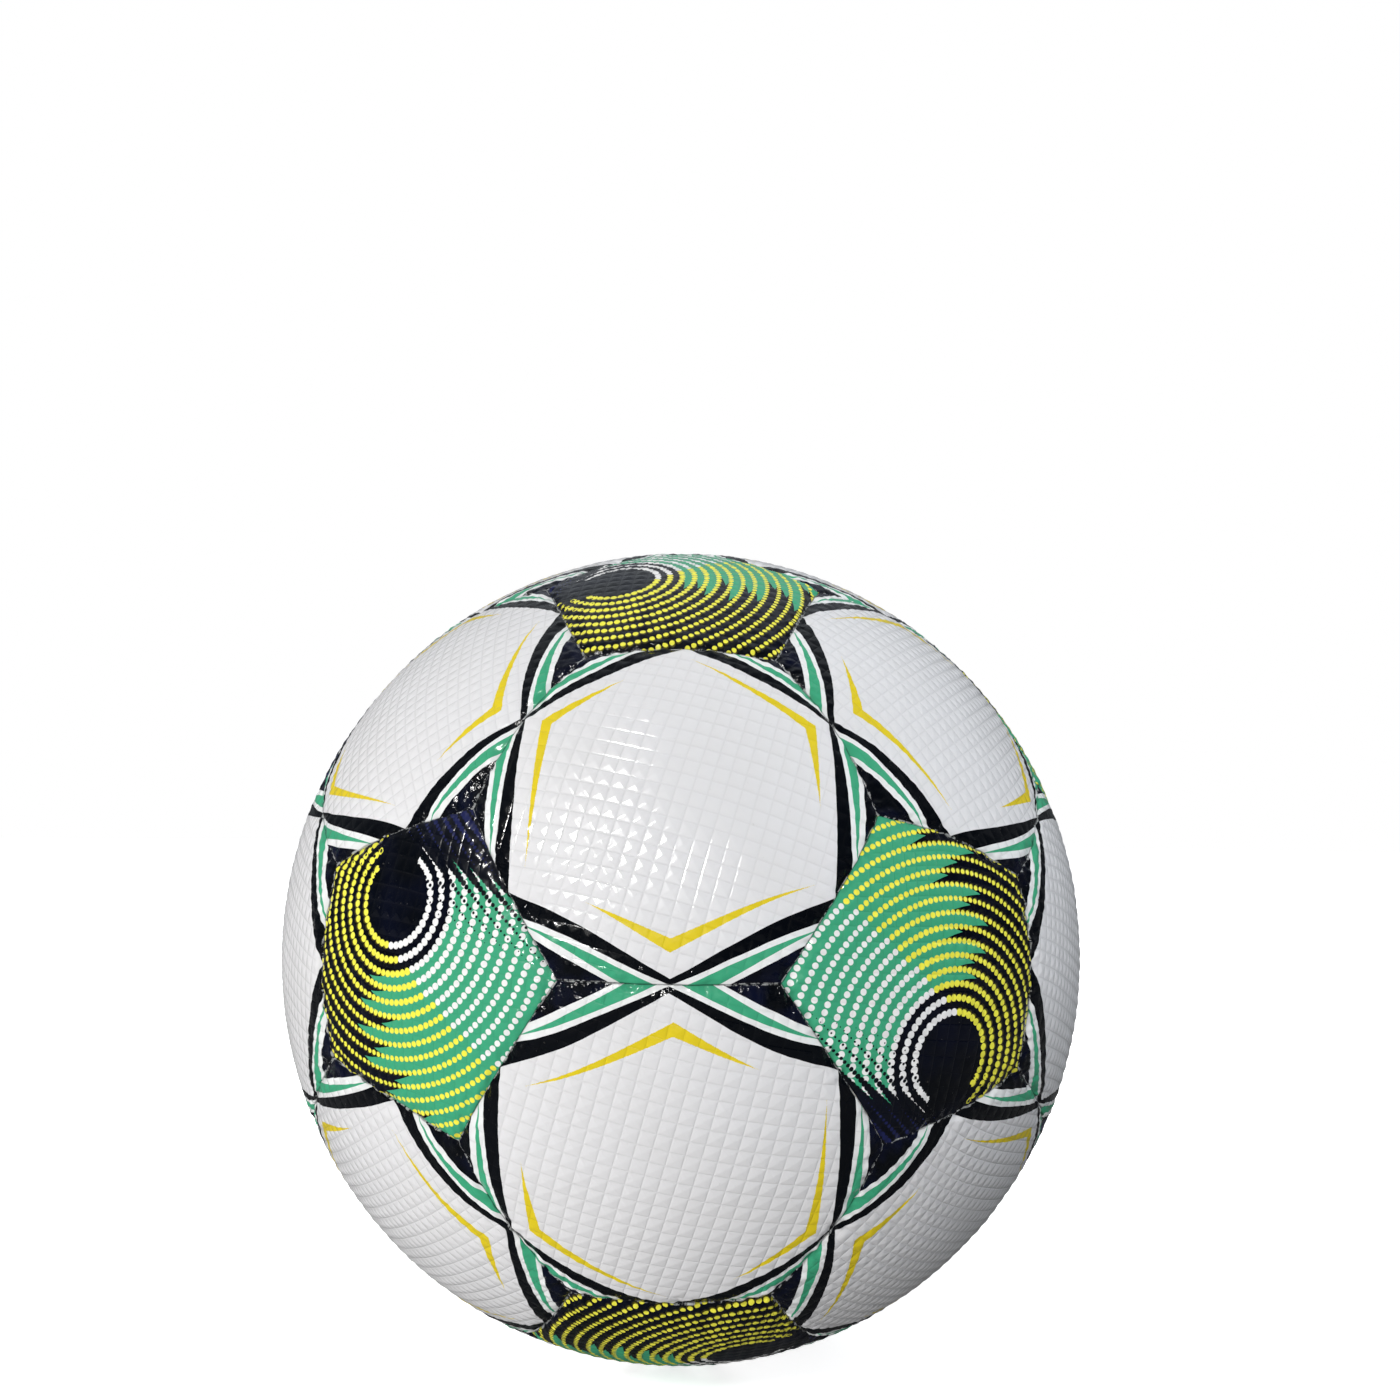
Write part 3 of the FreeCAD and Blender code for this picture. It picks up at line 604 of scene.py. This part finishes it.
def mix_colour(tree, factor, first, second, mode="MIX"):
    node = tree.nodes.new("ShaderNodeMix")
    node.data_type = "RGBA"
    node.blend_type = mode
    for i, item in ((0, factor), (6, first), (7, second)):
        feed(tree, item, node.inputs[i])
    return node.outputs[2]


def attribute(tree, name, output):
    node = tree.nodes.new("ShaderNodeAttribute")
    node.attribute_name = name
    return node.outputs[output]


def coordinates(tree, kind="Object"):
    return tree.nodes.new("ShaderNodeTexCoord").outputs[kind]


def components(tree, vector):
    """The x, y and z of a vector."""
    node = tree.nodes.new("ShaderNodeSeparateXYZ")
    tree.links.new(vector, node.inputs[0])
    return [Value(tree, output) for output in node.outputs]


def noise(tree, vector, scale, detail=2.0, rough=0.5, distortion=0.0):
    node = tree.nodes.new("ShaderNodeTexNoise")
    node.inputs["Scale"].default_value = scale
    node.inputs["Detail"].default_value = detail
    node.inputs["Roughness"].default_value = rough
    node.inputs["Distortion"].default_value = distortion
    tree.links.new(vector, node.inputs["Vector"])
    return Value(tree, node.outputs[0])


def new_material(name):
    mat = bpy.data.materials.new(name)
    mat.use_nodes = True
    tree = mat.node_tree
    return mat, tree, next(n for n in tree.nodes if n.type == "BSDF_PRINCIPLED")


def bump(tree, height, strength, distance):
    node = tree.nodes.new("ShaderNodeBump")
    node.inputs["Strength"].default_value = strength
    node.inputs["Distance"].default_value = distance
    feed(tree, height, node.inputs["Height"])
    return node.outputs[0]


# ---------------------------------------------------------------- cover materials

WHITE = srgb(236, 236, 239)
STRIPE_WHITE = srgb(246, 248, 249)
DOT_WHITE = srgb(250, 250, 250)
BLACK = srgb(6, 9, 15)
NAVY = srgb(14, 19, 44)
GREEN = srgb(66, 173, 131)
YELLOW = srgb(236, 212, 40)
DOT_YELLOW = srgb(255, 250, 82)
DOT_SHADOW_OLIVE = srgb(112, 104, 30)
BLUE = srgb(31, 37, 84)
STAIN = srgb(205, 196, 170)
SPECK = srgb(150, 145, 135)
SEAM_GRIME_AND_SHADE = srgb(30, 31, 36)
FRAY = srgb(205, 208, 208)
SEAM_SHADE = srgb(120, 118, 116)


def cover_base(name):
    """Coordinates shared by both kinds of cover: x and y on the cover in mm,
    distance from the seam in mm, and a noise place that differs per cover."""
    mat, tree, bsdf = new_material(name)
    x, y, seam = components(tree, attribute(tree, "pat", "Vector"))
    number = Value(tree, attribute(tree, "number", "Fac"))
    join = tree.nodes.new("ShaderNodeCombineXYZ")
    for i, item in enumerate((x, y, number * 40.0)):
        feed(tree, item, join.inputs[i])
    return mat, tree, bsdf, x, y, seam, join.outputs[0]


def cover_finish(tree, bsdf, colour, dark, seam, vector):
    """Gloss, fine grain, seam grime, painted shade along the seams and in the grain's grooves,
    and handling marks of the coated skin.
    """
    stain = noise(tree, vector, scale=0.045, detail=3.0, rough=0.55)
    stain = stain.ramp((0.35, 0.0), (0.62, 0.55), (0.8, 1.0))
    colour = mix_colour(tree, stain * 0.055, colour, STAIN, "MULTIPLY")
    speck = noise(tree, vector, scale=0.9, rough=0.6).above(0.735, soft=0.03)
    colour = mix_colour(tree, speck * 0.12, colour, SPECK)
    # painted shade and grime: the colour goes dark within 0.26 mm of the seam, down in its groove
    seam_grime_and_shade = noise(tree, vector, scale=0.55, rough=0.6).ramp((0.25, 0.55), (0.7, 1.0))
    seam_grime_and_shade = seam.fall(over=0.26) * seam_grime_and_shade
    colour = mix_colour(tree, seam_grime_and_shade * 0.85, colour, SEAM_GRIME_AND_SHADE)
    # the cut edge of the skin shows pale through a dark print here and there
    patches = noise(tree, vector, scale=0.8, detail=3.0, rough=0.6)
    fray = seam.fall(start=0.12, over=0.22) * dark * patches.ramp((0.47, 0.0), (0.56, 1.0))
    colour = mix_colour(tree, fray * 0.85, colour, FRAY)
    # painted shade: the colour darkens over the rolled edge, from 0.2 to 1.7 mm off the seam
    soft = seam.fall(start=0.2, over=1.5)
    colour = mix_colour(tree, soft * 0.12, colour, SEAM_SHADE, "MULTIPLY")
    # the pressed line around each pyramid, cut into the bump below and darkened in colour as
    # painted shade
    grain_x, grain_y, flat = components(tree, attribute(tree, "lattice", "Vector"))
    line = (grain_x - grain_x.round()).abs().min((grain_y - grain_y.round()).abs()) * PITCH
    groove = line.fall(over=0.30) * flat
    # painted shade: the colour darkens 5 % along the groove
    colour = mix_colour(tree, groove * 0.05, colour, (0.0, 0.0, 0.0, 1.0))
    tree.links.new(colour, bsdf.inputs["Base Color"])
    # relief in mm; the crinkles gather near the seam and on dark print
    fine = noise(tree, vector, scale=5.5, detail=3.0, rough=0.6)
    mid = noise(tree, vector, scale=1.15)
    crinkle = noise(tree, vector, scale=0.62, detail=3.0, rough=0.55, distortion=0.8)
    near = seam.fall(start=0.5, over=6.0)
    height = fine * 0.004 + mid * 0.03 + crinkle * near * (dark * 0.30 + 0.06) - groove * 0.068
    normal = bump(tree, height, strength=1.0, distance=0.001)
    tree.links.new(normal, bsdf.inputs["Normal"])
    tree.links.new(normal, bsdf.inputs["Coat Normal"])
    # base values, then the swing of each cloud of noise and of each mark
    cloud = noise(tree, vector, scale=0.25, detail=3.0, rough=0.6)
    rough = 0.40 + (cloud - 0.5) * 0.16 + (1.0 - dark) * 0.04 + seam_grime_and_shade * 0.15
    feed(tree, rough, bsdf.inputs["Roughness"])
    cloud = noise(tree, vector, scale=0.12, rough=0.6)
    coat = 0.165 + (cloud - 0.5) * 0.08 - dark * 0.05 - soft * 0.05 + seam_grime_and_shade * 0.1
    feed(tree, coat, bsdf.inputs["Coat Roughness"])
    bsdf.inputs["Coat Weight"].default_value = 0.9
    bsdf.inputs["Coat IOR"].default_value = 1.5
    feed(tree, 0.2 - dark * 0.14, bsdf.inputs["Specular IOR Level"])


SEAM_MIDDLE = 40.13          # middle of a hexagon to the middle of its seam, as printed
COS_30 = 0.8660254


def hexagon_material():
    mat, tree, bsdf, x, y, seam, vector = cover_base("hexagon_cover")
    wander = (noise(tree, vector, scale=0.11, detail=1.0) - 0.5) * 0.45
    # the bands repeat three times around the cover, each third mirrored
    radius = (x * x + y * y).sqrt()
    fold = (y.atan2(x) - math.pi).wrap(math.pi / 3, -math.pi / 3).abs()
    fold_x, fold_y = radius * fold.cos(), radius * fold.sin()
    # along and across a band that leaves the middle of a seam at 120 degrees
    along = (fold_x - SEAM_MIDDLE) * -0.5 + fold_y * COS_30
    across = (fold_x - SEAM_MIDDLE) * COS_30 + fold_y * 0.5 + wander
    band_start = along * 0.016 - 0.66
    band_end = along.ramp((-6.0, 0.05), (0.0, 0.52), (8.0, 1.52), (15.0, 2.28), (30.0, 3.5),
                          (45.0, 5.0))
    green_start = along * 0.103 + 1.78
    green_end = 5.42 - along.rise(start=16.0, over=40.0) * 0.35
    field_start = 6.5 + along.rise(start=9.0, over=12.0) * 0.5
    band = across.above(band_start) * across.below(band_end)
    field = across.above(field_start)
    black = band.max(field)
    green = across.above(green_start) * across.below(green_end)

    middle_x, middle_y, shown = components(tree, attribute(tree, "chevron", "Vector"))
    middle_x, middle_y = x - middle_x, y - middle_y
    swing = (middle_y.atan2(middle_x) - math.pi).wrap(math.pi / 3, -math.pi / 3)
    reach = (middle_x * middle_x + middle_y * middle_y).sqrt()
    arm_x, arm_y = reach * swing.cos(), reach * swing.sin()

    def past(tip, normal):
        """Distance past a line through a tip."""
        return (arm_x - tip[0]) * normal[0] + (arm_y - tip[1]) * normal[1]

    outer_tip, inner_tip = (34.85, -0.3), (32.05, -0.2)
    outer = past(outer_tip, (-0.8802, -0.4746)).min(past(outer_tip, (-0.8681, 0.4965)))
    inner = past(inner_tip, (0.9135, 0.4069)).max(past(inner_tip, (0.9278, -0.3730)))
    edge = outer.min(inner)
    # the print breaks into fine dots towards the edge of a stroke
    dots = ((arm_x * 9.2).sin() * (arm_y * 9.2).sin()) * 0.05
    chevron = (edge + dots).above(0.0) * shown

    navy = noise(tree, vector, scale=0.13).ramp((0.4, 0.0), (0.65, 1.0)) * field
    ink = mix_colour(tree, navy * 0.8, BLACK, NAVY)
    colour = mix_colour(tree, across.above(band_start + 0.4), WHITE, STRIPE_WHITE)
    colour = mix_colour(tree, black, colour, ink)
    colour = mix_colour(tree, green, colour, GREEN)
    colour = mix_colour(tree, chevron, colour, YELLOW)
    cover_finish(tree, bsdf, colour, black, seam, vector)
    return mat


# Dotted rings of a pentagon, in mm
RINGS_LEFT, RINGS_UP = 5.25, 16.25   # their middle: this far to -x and to +y
FIRST_RING = 10.25                   # radius of the innermost ring
RING_PITCH = 3.08
DOT_PITCH = 1.63
SQUEEZE = 0.0425                     # how much closer dots stand at the bottom
# Angle at which the green tongue in each space between rings ends, in degrees
TONGUE_TIPS = {2: 22.8, 3: 22.8, 4: 17.8, 5: 25.5, 6: 6.8, 7: 23.6, 8: 11.1, 9: 16.5,
               10: 1.1, 11: 6.1, 12: 14.0, 13: -4.1, 14: 2.0, 15: 6.0, 16: 6.0}
TIP_LIFT = 10                        # keeps the ramp of tips above zero
# Halftone dots in slanting rows, in mm
HALF_X, HALF_Y = 11.57, 15.72        # a dot the rows start from
HALF_COS, HALF_SIN = 0.723, 0.689
HALF_PITCH, HALF_ROW = 1.19, 2.22
HALF_STAGGER = 0.717
# Radius of the halftone dots against the place along their slope
BLACK_DOTS = ((12.5, 0), (13.5, .12), (16.9, .27), (20.8, .42), (22.7, .56),
              (24.5, .80), (26.5, 1.12), (28.0, 1.5))
BLUE_DOTS = ((26.5, 0), (29.0, .25), (31.0, .40), (33.0, .55), (36.0, .80), (38.5, .95))


def pentagon_material():
    mat, tree, bsdf, x, y, seam, vector = cover_base("pentagon_cover")
    ring_x, ring_y = x + RINGS_LEFT, y - RINGS_UP
    radius = (ring_x * ring_x + ring_y * ring_y).sqrt()
    theta = ring_y.atan2(ring_x)
    ring = ((radius - FIRST_RING) / RING_PITCH).round().max(0.0) + 1.0
    ring_radius = (ring - 1.0) * RING_PITCH + FIRST_RING
    count = (ring_radius * (math.tau / DOT_PITCH)).round()
    shift = (ring * 0.618).fract()
    # dots stand closer at the bottom of a ring than at its sides
    turn = theta - (theta * 2.0).sin() * SQUEEZE
    offset = (turn * count / math.tau + shift).fract() - 0.5
    spacing = count * (1.0 - (theta * 2.0).cos() * (2 * SQUEEZE))
    arc = offset * ring_radius * math.tau / spacing
    out = radius - ring_radius
    distance = (arc * arc + out * out).sqrt()
    size = (((ring - 1.0) * -0.035 + 1.55).max(1.28) + y * 0.006
            + x.above(-4.0, soft=6.0) * 0.14)
    dot = distance.below(size * 0.5, soft=0.07)
    # painted shadow: a blurred olive second dot, set a little aside from each dot
    shadow_dot_out = theta.cos() * -0.34 + theta.sin() * -0.08
    shadow_dot_arc = theta.sin() * 0.34 + theta.cos() * -0.08
    shadow_dot = ((arc - shadow_dot_arc) * (arc - shadow_dot_arc) + (out - shadow_dot_out) * (out - shadow_dot_out)).sqrt()
    shadow_dot = shadow_dot.below(size * 0.5, soft=0.5)
    # white on one side of a slanting line, yellow on the other; each dot is
    # one colour, taken where its middle lies
    middle = (turn * count / math.tau + shift).floor() + 0.5 - shift
    angle = middle * math.tau / count
    angle = angle + (angle * 2.0).sin() * SQUEEZE
    dot_x = ring_radius * angle.cos() - RINGS_LEFT
    dot_y = ring_radius * angle.sin() + RINGS_UP
    white = (((dot_x + 6.1) * 0.665 + (dot_y - 6.0) * 0.747).above(0.0, soft=0.01)
             * dot_x.above(-6.0, soft=0.01))
    # the rings stay open at the top, between the yellow side and the white one
    there = 1.0 - (dot_y.above(18.0, soft=0.01) * dot_x.above(-12.4, soft=0.01)
                   * dot_x.below(0.35, soft=0.01))
    dot = dot * there
    # green tongues between the rings, tapering to their tips
    space = ((radius - FIRST_RING) / RING_PITCH).floor() + 1.0
    within = ((radius - FIRST_RING) / RING_PITCH).fract()
    tip = space.ramp(*[(float(n), v + TIP_LIFT) for n, v in TONGUE_TIPS.items()]) - TIP_LIFT
    past = (theta * (180 / math.pi) + 90.0 + tip).wrap(360.0, 0.0)
    run = past * radius * (math.pi / 180)
    high = run.rise(over=4.6) * 0.38 + 0.63
    low = run.fall(over=7.2) * 0.63
    tongue = within.above(low, soft=0.02) * within.below(high, soft=0.02)
    green = tongue * radius.above(16.4) * past.below(205.0, soft=0.4)
    # halftone that closes to black towards one corner, then dots of blue
    slope = x * 0.309 + y * 0.951
    half_along = (x - HALF_X) * HALF_COS + (y - HALF_Y) * -HALF_SIN
    half_across = (x - HALF_X) * HALF_SIN + (y - HALF_Y) * HALF_COS
    row = (half_across / HALF_ROW).round()
    part_along = ((half_along + row * HALF_STAGGER) / HALF_PITCH + 0.5).fract() - 0.5
    part_across = half_across / HALF_ROW - row
    half_distance = ((part_along * HALF_PITCH) * (part_along * HALF_PITCH)
                     + (part_across * HALF_ROW) * (part_across * HALF_ROW)).sqrt()

    def halftone(dots):
        start = dots[0][0]
        return half_distance.below(slope.ramp(*dots), soft=0.06) * slope.above(start, soft=0.1)

    navy = noise(tree, vector, scale=0.1, detail=1.0).ramp((0.35, 0.0), (0.7, 1.0))
    ink = mix_colour(tree, navy * 0.35, BLACK, NAVY)
    colour = mix_colour(tree, green, ink, GREEN)
    # painted shadow beside each yellow dot, olive over the dark ink
    painted_dot_shadow = shadow_dot * there * (1.0 - white) * (1.0 - green) * 0.75
    colour = mix_colour(tree, painted_dot_shadow, colour, DOT_SHADOW_OLIVE)
    colour = mix_colour(tree, dot, colour, mix_colour(tree, white, DOT_YELLOW, DOT_WHITE))
    colour = mix_colour(tree, halftone(BLACK_DOTS), colour, ink)
    colour = mix_colour(tree, halftone(BLUE_DOTS), colour, BLUE)
    cover_finish(tree, bsdf, colour, 1.0 - dot.max(green), seam, vector)
    return mat


# ---------------------------------------------------------------- inner materials


def simple_material(name, colour, second, rough, scale, relief, kind="noise", sheen=0.0):
    """Mottled material with a noise, weave or cell relief, in metres."""
    mat, tree, bsdf = new_material(name)
    place = coordinates(tree)
    spots = noise(tree, place, scale, detail=4.0, rough=0.6)
    tree.links.new(mix_colour(tree, spots.ramp((0.3, 0.0), (0.7, 1.0)), colour, second),
                   bsdf.inputs["Base Color"])
    height = spots
    if kind == "weave":
        parts = []
        for direction in ("X", "Y", "Z"):
            wave = tree.nodes.new("ShaderNodeTexWave")
            wave.bands_direction = direction
            wave.inputs["Scale"].default_value = scale * 1.5
            wave.inputs["Distortion"].default_value = 0.4
            tree.links.new(place, wave.inputs["Vector"])
            parts.append(Value(tree, wave.outputs["Fac"]))
        height = parts[0] * 0.4 + parts[1] * 0.4 + parts[2] * 0.4 + spots * 0.2
    elif kind == "cells":
        cell = tree.nodes.new("ShaderNodeTexVoronoi")
        cell.inputs["Scale"].default_value = scale * 2
        tree.links.new(place, cell.inputs["Vector"])
        height = Value(tree, cell.outputs["Distance"]) + spots * 0.5
    tree.links.new(bump(tree, height, strength=0.6, distance=relief), bsdf.inputs["Normal"])
    feed(tree, rough + (spots - 0.5) * 0.2, bsdf.inputs["Roughness"])
    bsdf.inputs["Sheen Weight"].default_value = sheen
    return mat


hexagon_mat = hexagon_material()
pentagon_mat = pentagon_material()
# Material of every node whose name holds the key
node_material = {
    "foam": simple_material("foam_pad", srgb(232, 228, 214), srgb(214, 208, 190),
                            rough=0.85, scale=900, relief=0.0002, kind="cells"),
    "lining": simple_material("lining_cloth", srgb(224, 220, 206), srgb(196, 190, 172),
                              rough=0.9, scale=1100, relief=0.0002, kind="weave", sheen=0.3),
    "thread": simple_material("waxed_thread", srgb(238, 234, 222), srgb(206, 200, 184),
                              rough=0.55, scale=2600, relief=0.0001, kind="weave"),
    "bladder": simple_material("bladder_rubber", srgb(38, 36, 36), srgb(54, 50, 48),
                               rough=0.5, scale=260, relief=0.0001),
    "valve_housing": simple_material("valve_rubber", srgb(30, 30, 32), srgb(44, 44, 46),
                                     rough=0.42, scale=900, relief=0.00006),
    "valve_plug": simple_material("valve_plug_rubber", srgb(208, 206, 200),
                                  srgb(188, 186, 180), rough=0.45, scale=1400,
                                  relief=0.00006),
}
node_material["valve_reinforcement"] = node_material["lining"]
for name, obj in nodes.items():
    for part, mat in node_material.items():
        if part in name:
            if not obj.material_slots:
                obj.data.materials.append(mat)
            for slot in obj.material_slots:
                slot.material = mat

# ---------------------------------------------------------------- covers

VALVE_DIRECTION = unit((-1, 1, 1))
HEX_VARIANTS, PENT_VARIANTS = 5, 3   # meshes with different grain phases
shapes = {}


def place_bands(x, y, over, centre):
    """Move the bands of a hexagon; they still meet at the middle of each seam."""
    held = np.ones(len(x))
    for k in range(6):
        from_tip = ((x - SEAM_MIDDLE * math.cos(k * math.pi / 3)) ** 2
                    + (y - SEAM_MIDDLE * math.sin(k * math.pi / 3)) ** 2)
        width, grip = (15.0, 0.6) if k == 3 and abs(centre[0]) < 0.1 else (9.5, 0.9)
        held = held - grip * np.exp(-from_tip / width ** 2)
    return x - over[0] * held, y - over[1] * held


def place_rings(x, y, over_x, over_y, degrees):
    """Move and turn the rings of a pentagon."""
    cos, sin = math.cos(math.radians(degrees)), math.sin(math.radians(degrees))
    x, y = x - over_x, y - over_y
    return cos * x - sin * y, sin * x + cos * y


def build_cover(index, name):
    centre = node_centre(name)
    six = name.startswith("hexagon")
    rng = np.random.default_rng(1000 + index)
    if six:
        axes = hexagon_axes(centre)
        holed = float(centre @ VALVE_DIRECTION) > 0.999
        variant = "valve" if holed else index % HEX_VARIANTS
        outline = dict(sides=6, edge=HEX_EDGE, first_side=0.0, grain_turn=HEX_GRAIN,
                       holed=holed)
    else:
        axes = pentagon_axes[nearest_pentagon(centre)]
        variant = index % PENT_VARIANTS
        outline = dict(sides=5, edge=PENT_EDGE, first_side=math.radians(36),
                       grain_turn=PENT_GRAIN, holed=False)
    if (six, variant) not in shapes:
        shapes[six, variant] = Cover(phase=tuple(rng.uniform(0, 1, 2)), **outline)
    cover = shapes[six, variant]
    points, x, y, lattice = cover.shape(axes, 500 + index)
    if six:
        over = PRINTED.get(octant(centre), (0.0,) * 4)
        x, y = place_bands(x, y, over, centre)
    else:
        x, y = place_rings(x, y, *RINGED.get(octant(centre), (0.0,) * 3))
    x = x + rng.uniform(-0.15, 0.15)
    y = y + rng.uniform(-0.15, 0.15)
    values = {"pat": ("FLOAT_VECTOR", np.stack([x, y, cover.seam], -1)),
              "lattice": ("FLOAT_VECTOR", lattice),
              "number": ("FLOAT", np.full(len(x), (index * 0.37) % 1.0))}
    if six:
        # the two front covers far out at the sides are printed without chevrons
        plain = abs(centre[0]) > 0.9 and centre[1] < 0
        values["chevron"] = ("FLOAT_VECTOR", np.tile(
            (over[2] - over[0], over[3] - over[1], 0.0 if plain else 1.0), (len(x), 1)))
    piece = cover_object(name.replace("_panel_", "_cover_"), points, cover.faces, values,
                         hexagon_mat if six else pentagon_mat)
    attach(piece, "ball")
    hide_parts(name)


for index, name in enumerate(sorted(n for n in nodes if "_panel_" in n)):
    build_cover(index, name)

# ---------------------------------------------------------------- studio

FLOOR_Z = -R * MM - 0.0002
FLOOR_RADII = (0.3, 1.0, 3.0, 9.0)
FLOOR_SIDES = 96


def studio_object(name, points, faces, material):
    mesh = bpy.data.meshes.new(name)
    mesh.from_pydata(points, [], faces)
    mesh.materials.append(material)
    return link_object(name, mesh)


def floor_material():
    """Bright to the camera, dark to every other ray."""
    mat, tree, bsdf = new_material("studio_floor")
    place = coordinates(tree)
    mottle = noise(tree, place, scale=9.0, detail=3.0)
    path = tree.nodes.new("ShaderNodeLightPath")
    seen = Value(tree, path.outputs["Is Camera Ray"])
    pale = mix_colour(tree, mottle, (0.84, 0.84, 0.845, 1), (0.88, 0.88, 0.88, 1))
    tree.links.new(mix_colour(tree, seen, (0.08, 0.08, 0.08, 1), pale),
                   bsdf.inputs["Base Color"])
    bsdf.inputs["Roughness"].default_value = 0.9
    bsdf.inputs["Specular IOR Level"].default_value = 0.1
    bsdf.inputs["Emission Color"].default_value = (1, 1, 1, 1)
    length = tree.nodes.new("ShaderNodeVectorMath")
    length.operation = "LENGTH"
    tree.links.new(place, length.inputs[0])
    glow = Value(tree, length.outputs["Value"]).ramp((0.0, 0.70), (0.35, 0.75), (1.2, 1.0),
                                                     (3.0, 1.2))
    feed(tree, seen * glow, bsdf.inputs["Emission Strength"])
    return mat


def build_floor():
    """Round floor just under the ball."""
    points = [(0, 0, FLOOR_Z)]
    for radius in FLOOR_RADII:
        points += [(radius * math.cos(2 * math.pi * i / FLOOR_SIDES),
                    radius * math.sin(2 * math.pi * i / FLOOR_SIDES), FLOOR_Z)
                   for i in range(FLOOR_SIDES)]
    faces = [(0, 1 + i, 1 + (i + 1) % FLOOR_SIDES) for i in range(FLOOR_SIDES)]
    for k in range(len(FLOOR_RADII) - 1):
        inner, outer = 1 + k * FLOOR_SIDES, 1 + (k + 1) * FLOOR_SIDES
        for i in range(FLOOR_SIDES):
            j = (i + 1) % FLOOR_SIDES
            faces.append((inner + i, outer + i, outer + j, inner + j))
    floor = studio_object("studio_floor", points, faces, floor_material())
    floor.visible_shadow = False          # lit from below as well, like a light table


def build_world():
    """White to the camera, dim fill, and a pale sheet for the gloss to see."""
    world = bpy.data.worlds.new("studio")
    bpy.context.scene.world = world
    world.use_nodes = True
    tree = world.node_tree
    path = tree.nodes.new("ShaderNodeLightPath")

    def background(colour, strength, node=None):
        node = node or tree.nodes.new("ShaderNodeBackground")
        node.inputs[0].default_value = colour
        feed(tree, strength, node.inputs[1])
        return node

    def choose(ray, otherwise, chosen):
        node = tree.nodes.new("ShaderNodeMixShader")
        for i, item in enumerate((path.outputs[ray], otherwise.outputs[0], chosen.outputs[0])):
            tree.links.new(item, node.inputs[i])
        return node

    fill = background((0.84, 0.92, 1.0, 1), 0.035,
                      next(n for n in tree.nodes if n.type == "BACKGROUND"))
    # what the gloss sees: dark in front, a pale sheet above and behind
    _, y, z = components(tree, coordinates(tree, "Generated"))
    lift = y * 0.5 + z * 0.866
    sheet = background((0.88, 0.94, 1.0, 1),
                       lift.ramp((-1.0, 0.004), (0.1, 0.008), (0.7, 0.12), (1.0, 0.42)))
    seen = background((1.0, 1.0, 1.0, 1), 1.0)
    gloss = choose("Is Glossy Ray", fill, sheet)
    mixer = choose("Is Camera Ray", gloss, seen)
    out = next(n for n in tree.nodes if n.type == "OUTPUT_WORLD")
    tree.links.new(mixer.outputs[0], out.inputs[0])


def area_light(name, direction, distance, size, power, colour, glossy=True):
    """Round lamp that faces the ball from a direction."""
    data = bpy.data.lights.new(name, "AREA")
    data.shape = "DISK"
    data.size = size
    data.energy = power
    data.color = colour
    obj = link_object(name, data)
    away = Vector(direction).normalized()
    obj.location = away * distance
    obj.rotation_mode = "QUATERNION"
    obj.rotation_quaternion = away.to_track_quat("Z", "Y")
    obj.visible_glossy = glossy
    return obj


def around(azimuth, elevation):
    """Direction of a light: azimuth 0 is the camera's side, 90 its right."""
    azimuth, elevation = math.radians(azimuth), math.radians(elevation)
    return (math.sin(azimuth) * math.cos(elevation), -math.cos(azimuth) * math.cos(elevation),
            math.sin(elevation))


KEY_DIRECTION = (-0.347, -0.815, 0.465)
# Soft lamps without glints: name, azimuth, elevation, size, power, colour
SOFT_LAMPS = (
    ("front", 0, 8, 1.0, 17.8, (1.0, 0.995, 0.985)),
    ("low_left", -62, -38, 1.0, 39.0, (1.0, 0.99, 0.975)),
    ("left", -90, 10, 0.9, 12.0, (1.0, 0.99, 0.98)),
    ("left_top", -120, 60, 0.9, 22.0, (1.0, 0.995, 0.99)),
    ("right", 85, 18, 0.8, 23.0, (0.92, 0.96, 1.0)),
    ("right_top", 60, 36, 0.9, 15.0, (0.92, 0.96, 1.0)),
    ("back_left", -150, 20, 1.0, 34.0, (0.95, 0.975, 1.0)),
    ("back", 175, 25, 1.0, 22.0, (0.97, 0.985, 1.0)),
)


def build_lights():
    area_light("key", KEY_DIRECTION, distance=2.4, size=0.26, power=21.5,
               colour=(1.0, 0.985, 0.955))
    sparkle = area_light("sparkle", KEY_DIRECTION, distance=2.38, size=0.26, power=8.0,
                         colour=(1.0, 0.99, 0.97))
    sparkle.visible_diffuse = False       # adds to the glints only
    for name, azimuth, elevation, size, power, colour in SOFT_LAMPS:
        area_light(name, around(azimuth, elevation), 2.6, size, power, colour, glossy=False)


def build_card():
    """A black card that keeps the right-hand lamp off the lower right of the ball."""
    mat, tree, bsdf = new_material("studio_card")
    mottle = noise(tree, coordinates(tree), scale=30.0)
    tree.links.new(mix_colour(tree, mottle, (0.01, 0.01, 0.01, 1), (0.02, 0.02, 0.02, 1)),
                   bsdf.inputs["Base Color"])
    x, front, back, bottom, top = 0.45, -0.5, 0.15, -0.105, 0.085
    card = studio_object("studio_card", [(x, front, bottom), (x, back, bottom), (x, back, top),
                                         (x, front, top)], [(0, 1, 2, 3)], mat)
    card.visible_camera = card.visible_diffuse = card.visible_glossy = False


def build_camera():
    data = bpy.data.cameras.new("camera")
    data.sensor_width = 36.0
    data.lens = 33.72171429
    data.clip_start, data.clip_end = 0.01, 50
    camera = link_object("camera", data)
    right = Vector((0.99990, 0.00888, 0.01068)).normalized()
    back = Vector((0.00983, -0.99558, -0.09338)).normalized()
    up = back.cross(right).normalized()
    right = up.cross(back).normalized()
    place = Matrix.Translation((0.00807, -0.3816, 0.0329))
    camera.matrix_world = place @ Matrix((right, up, back)).transposed().to_4x4()
    bpy.context.scene.camera = camera


build_floor()
build_world()
build_lights()
build_card()
build_camera()
bpy.context.scene.view_settings.view_transform = "Standard"
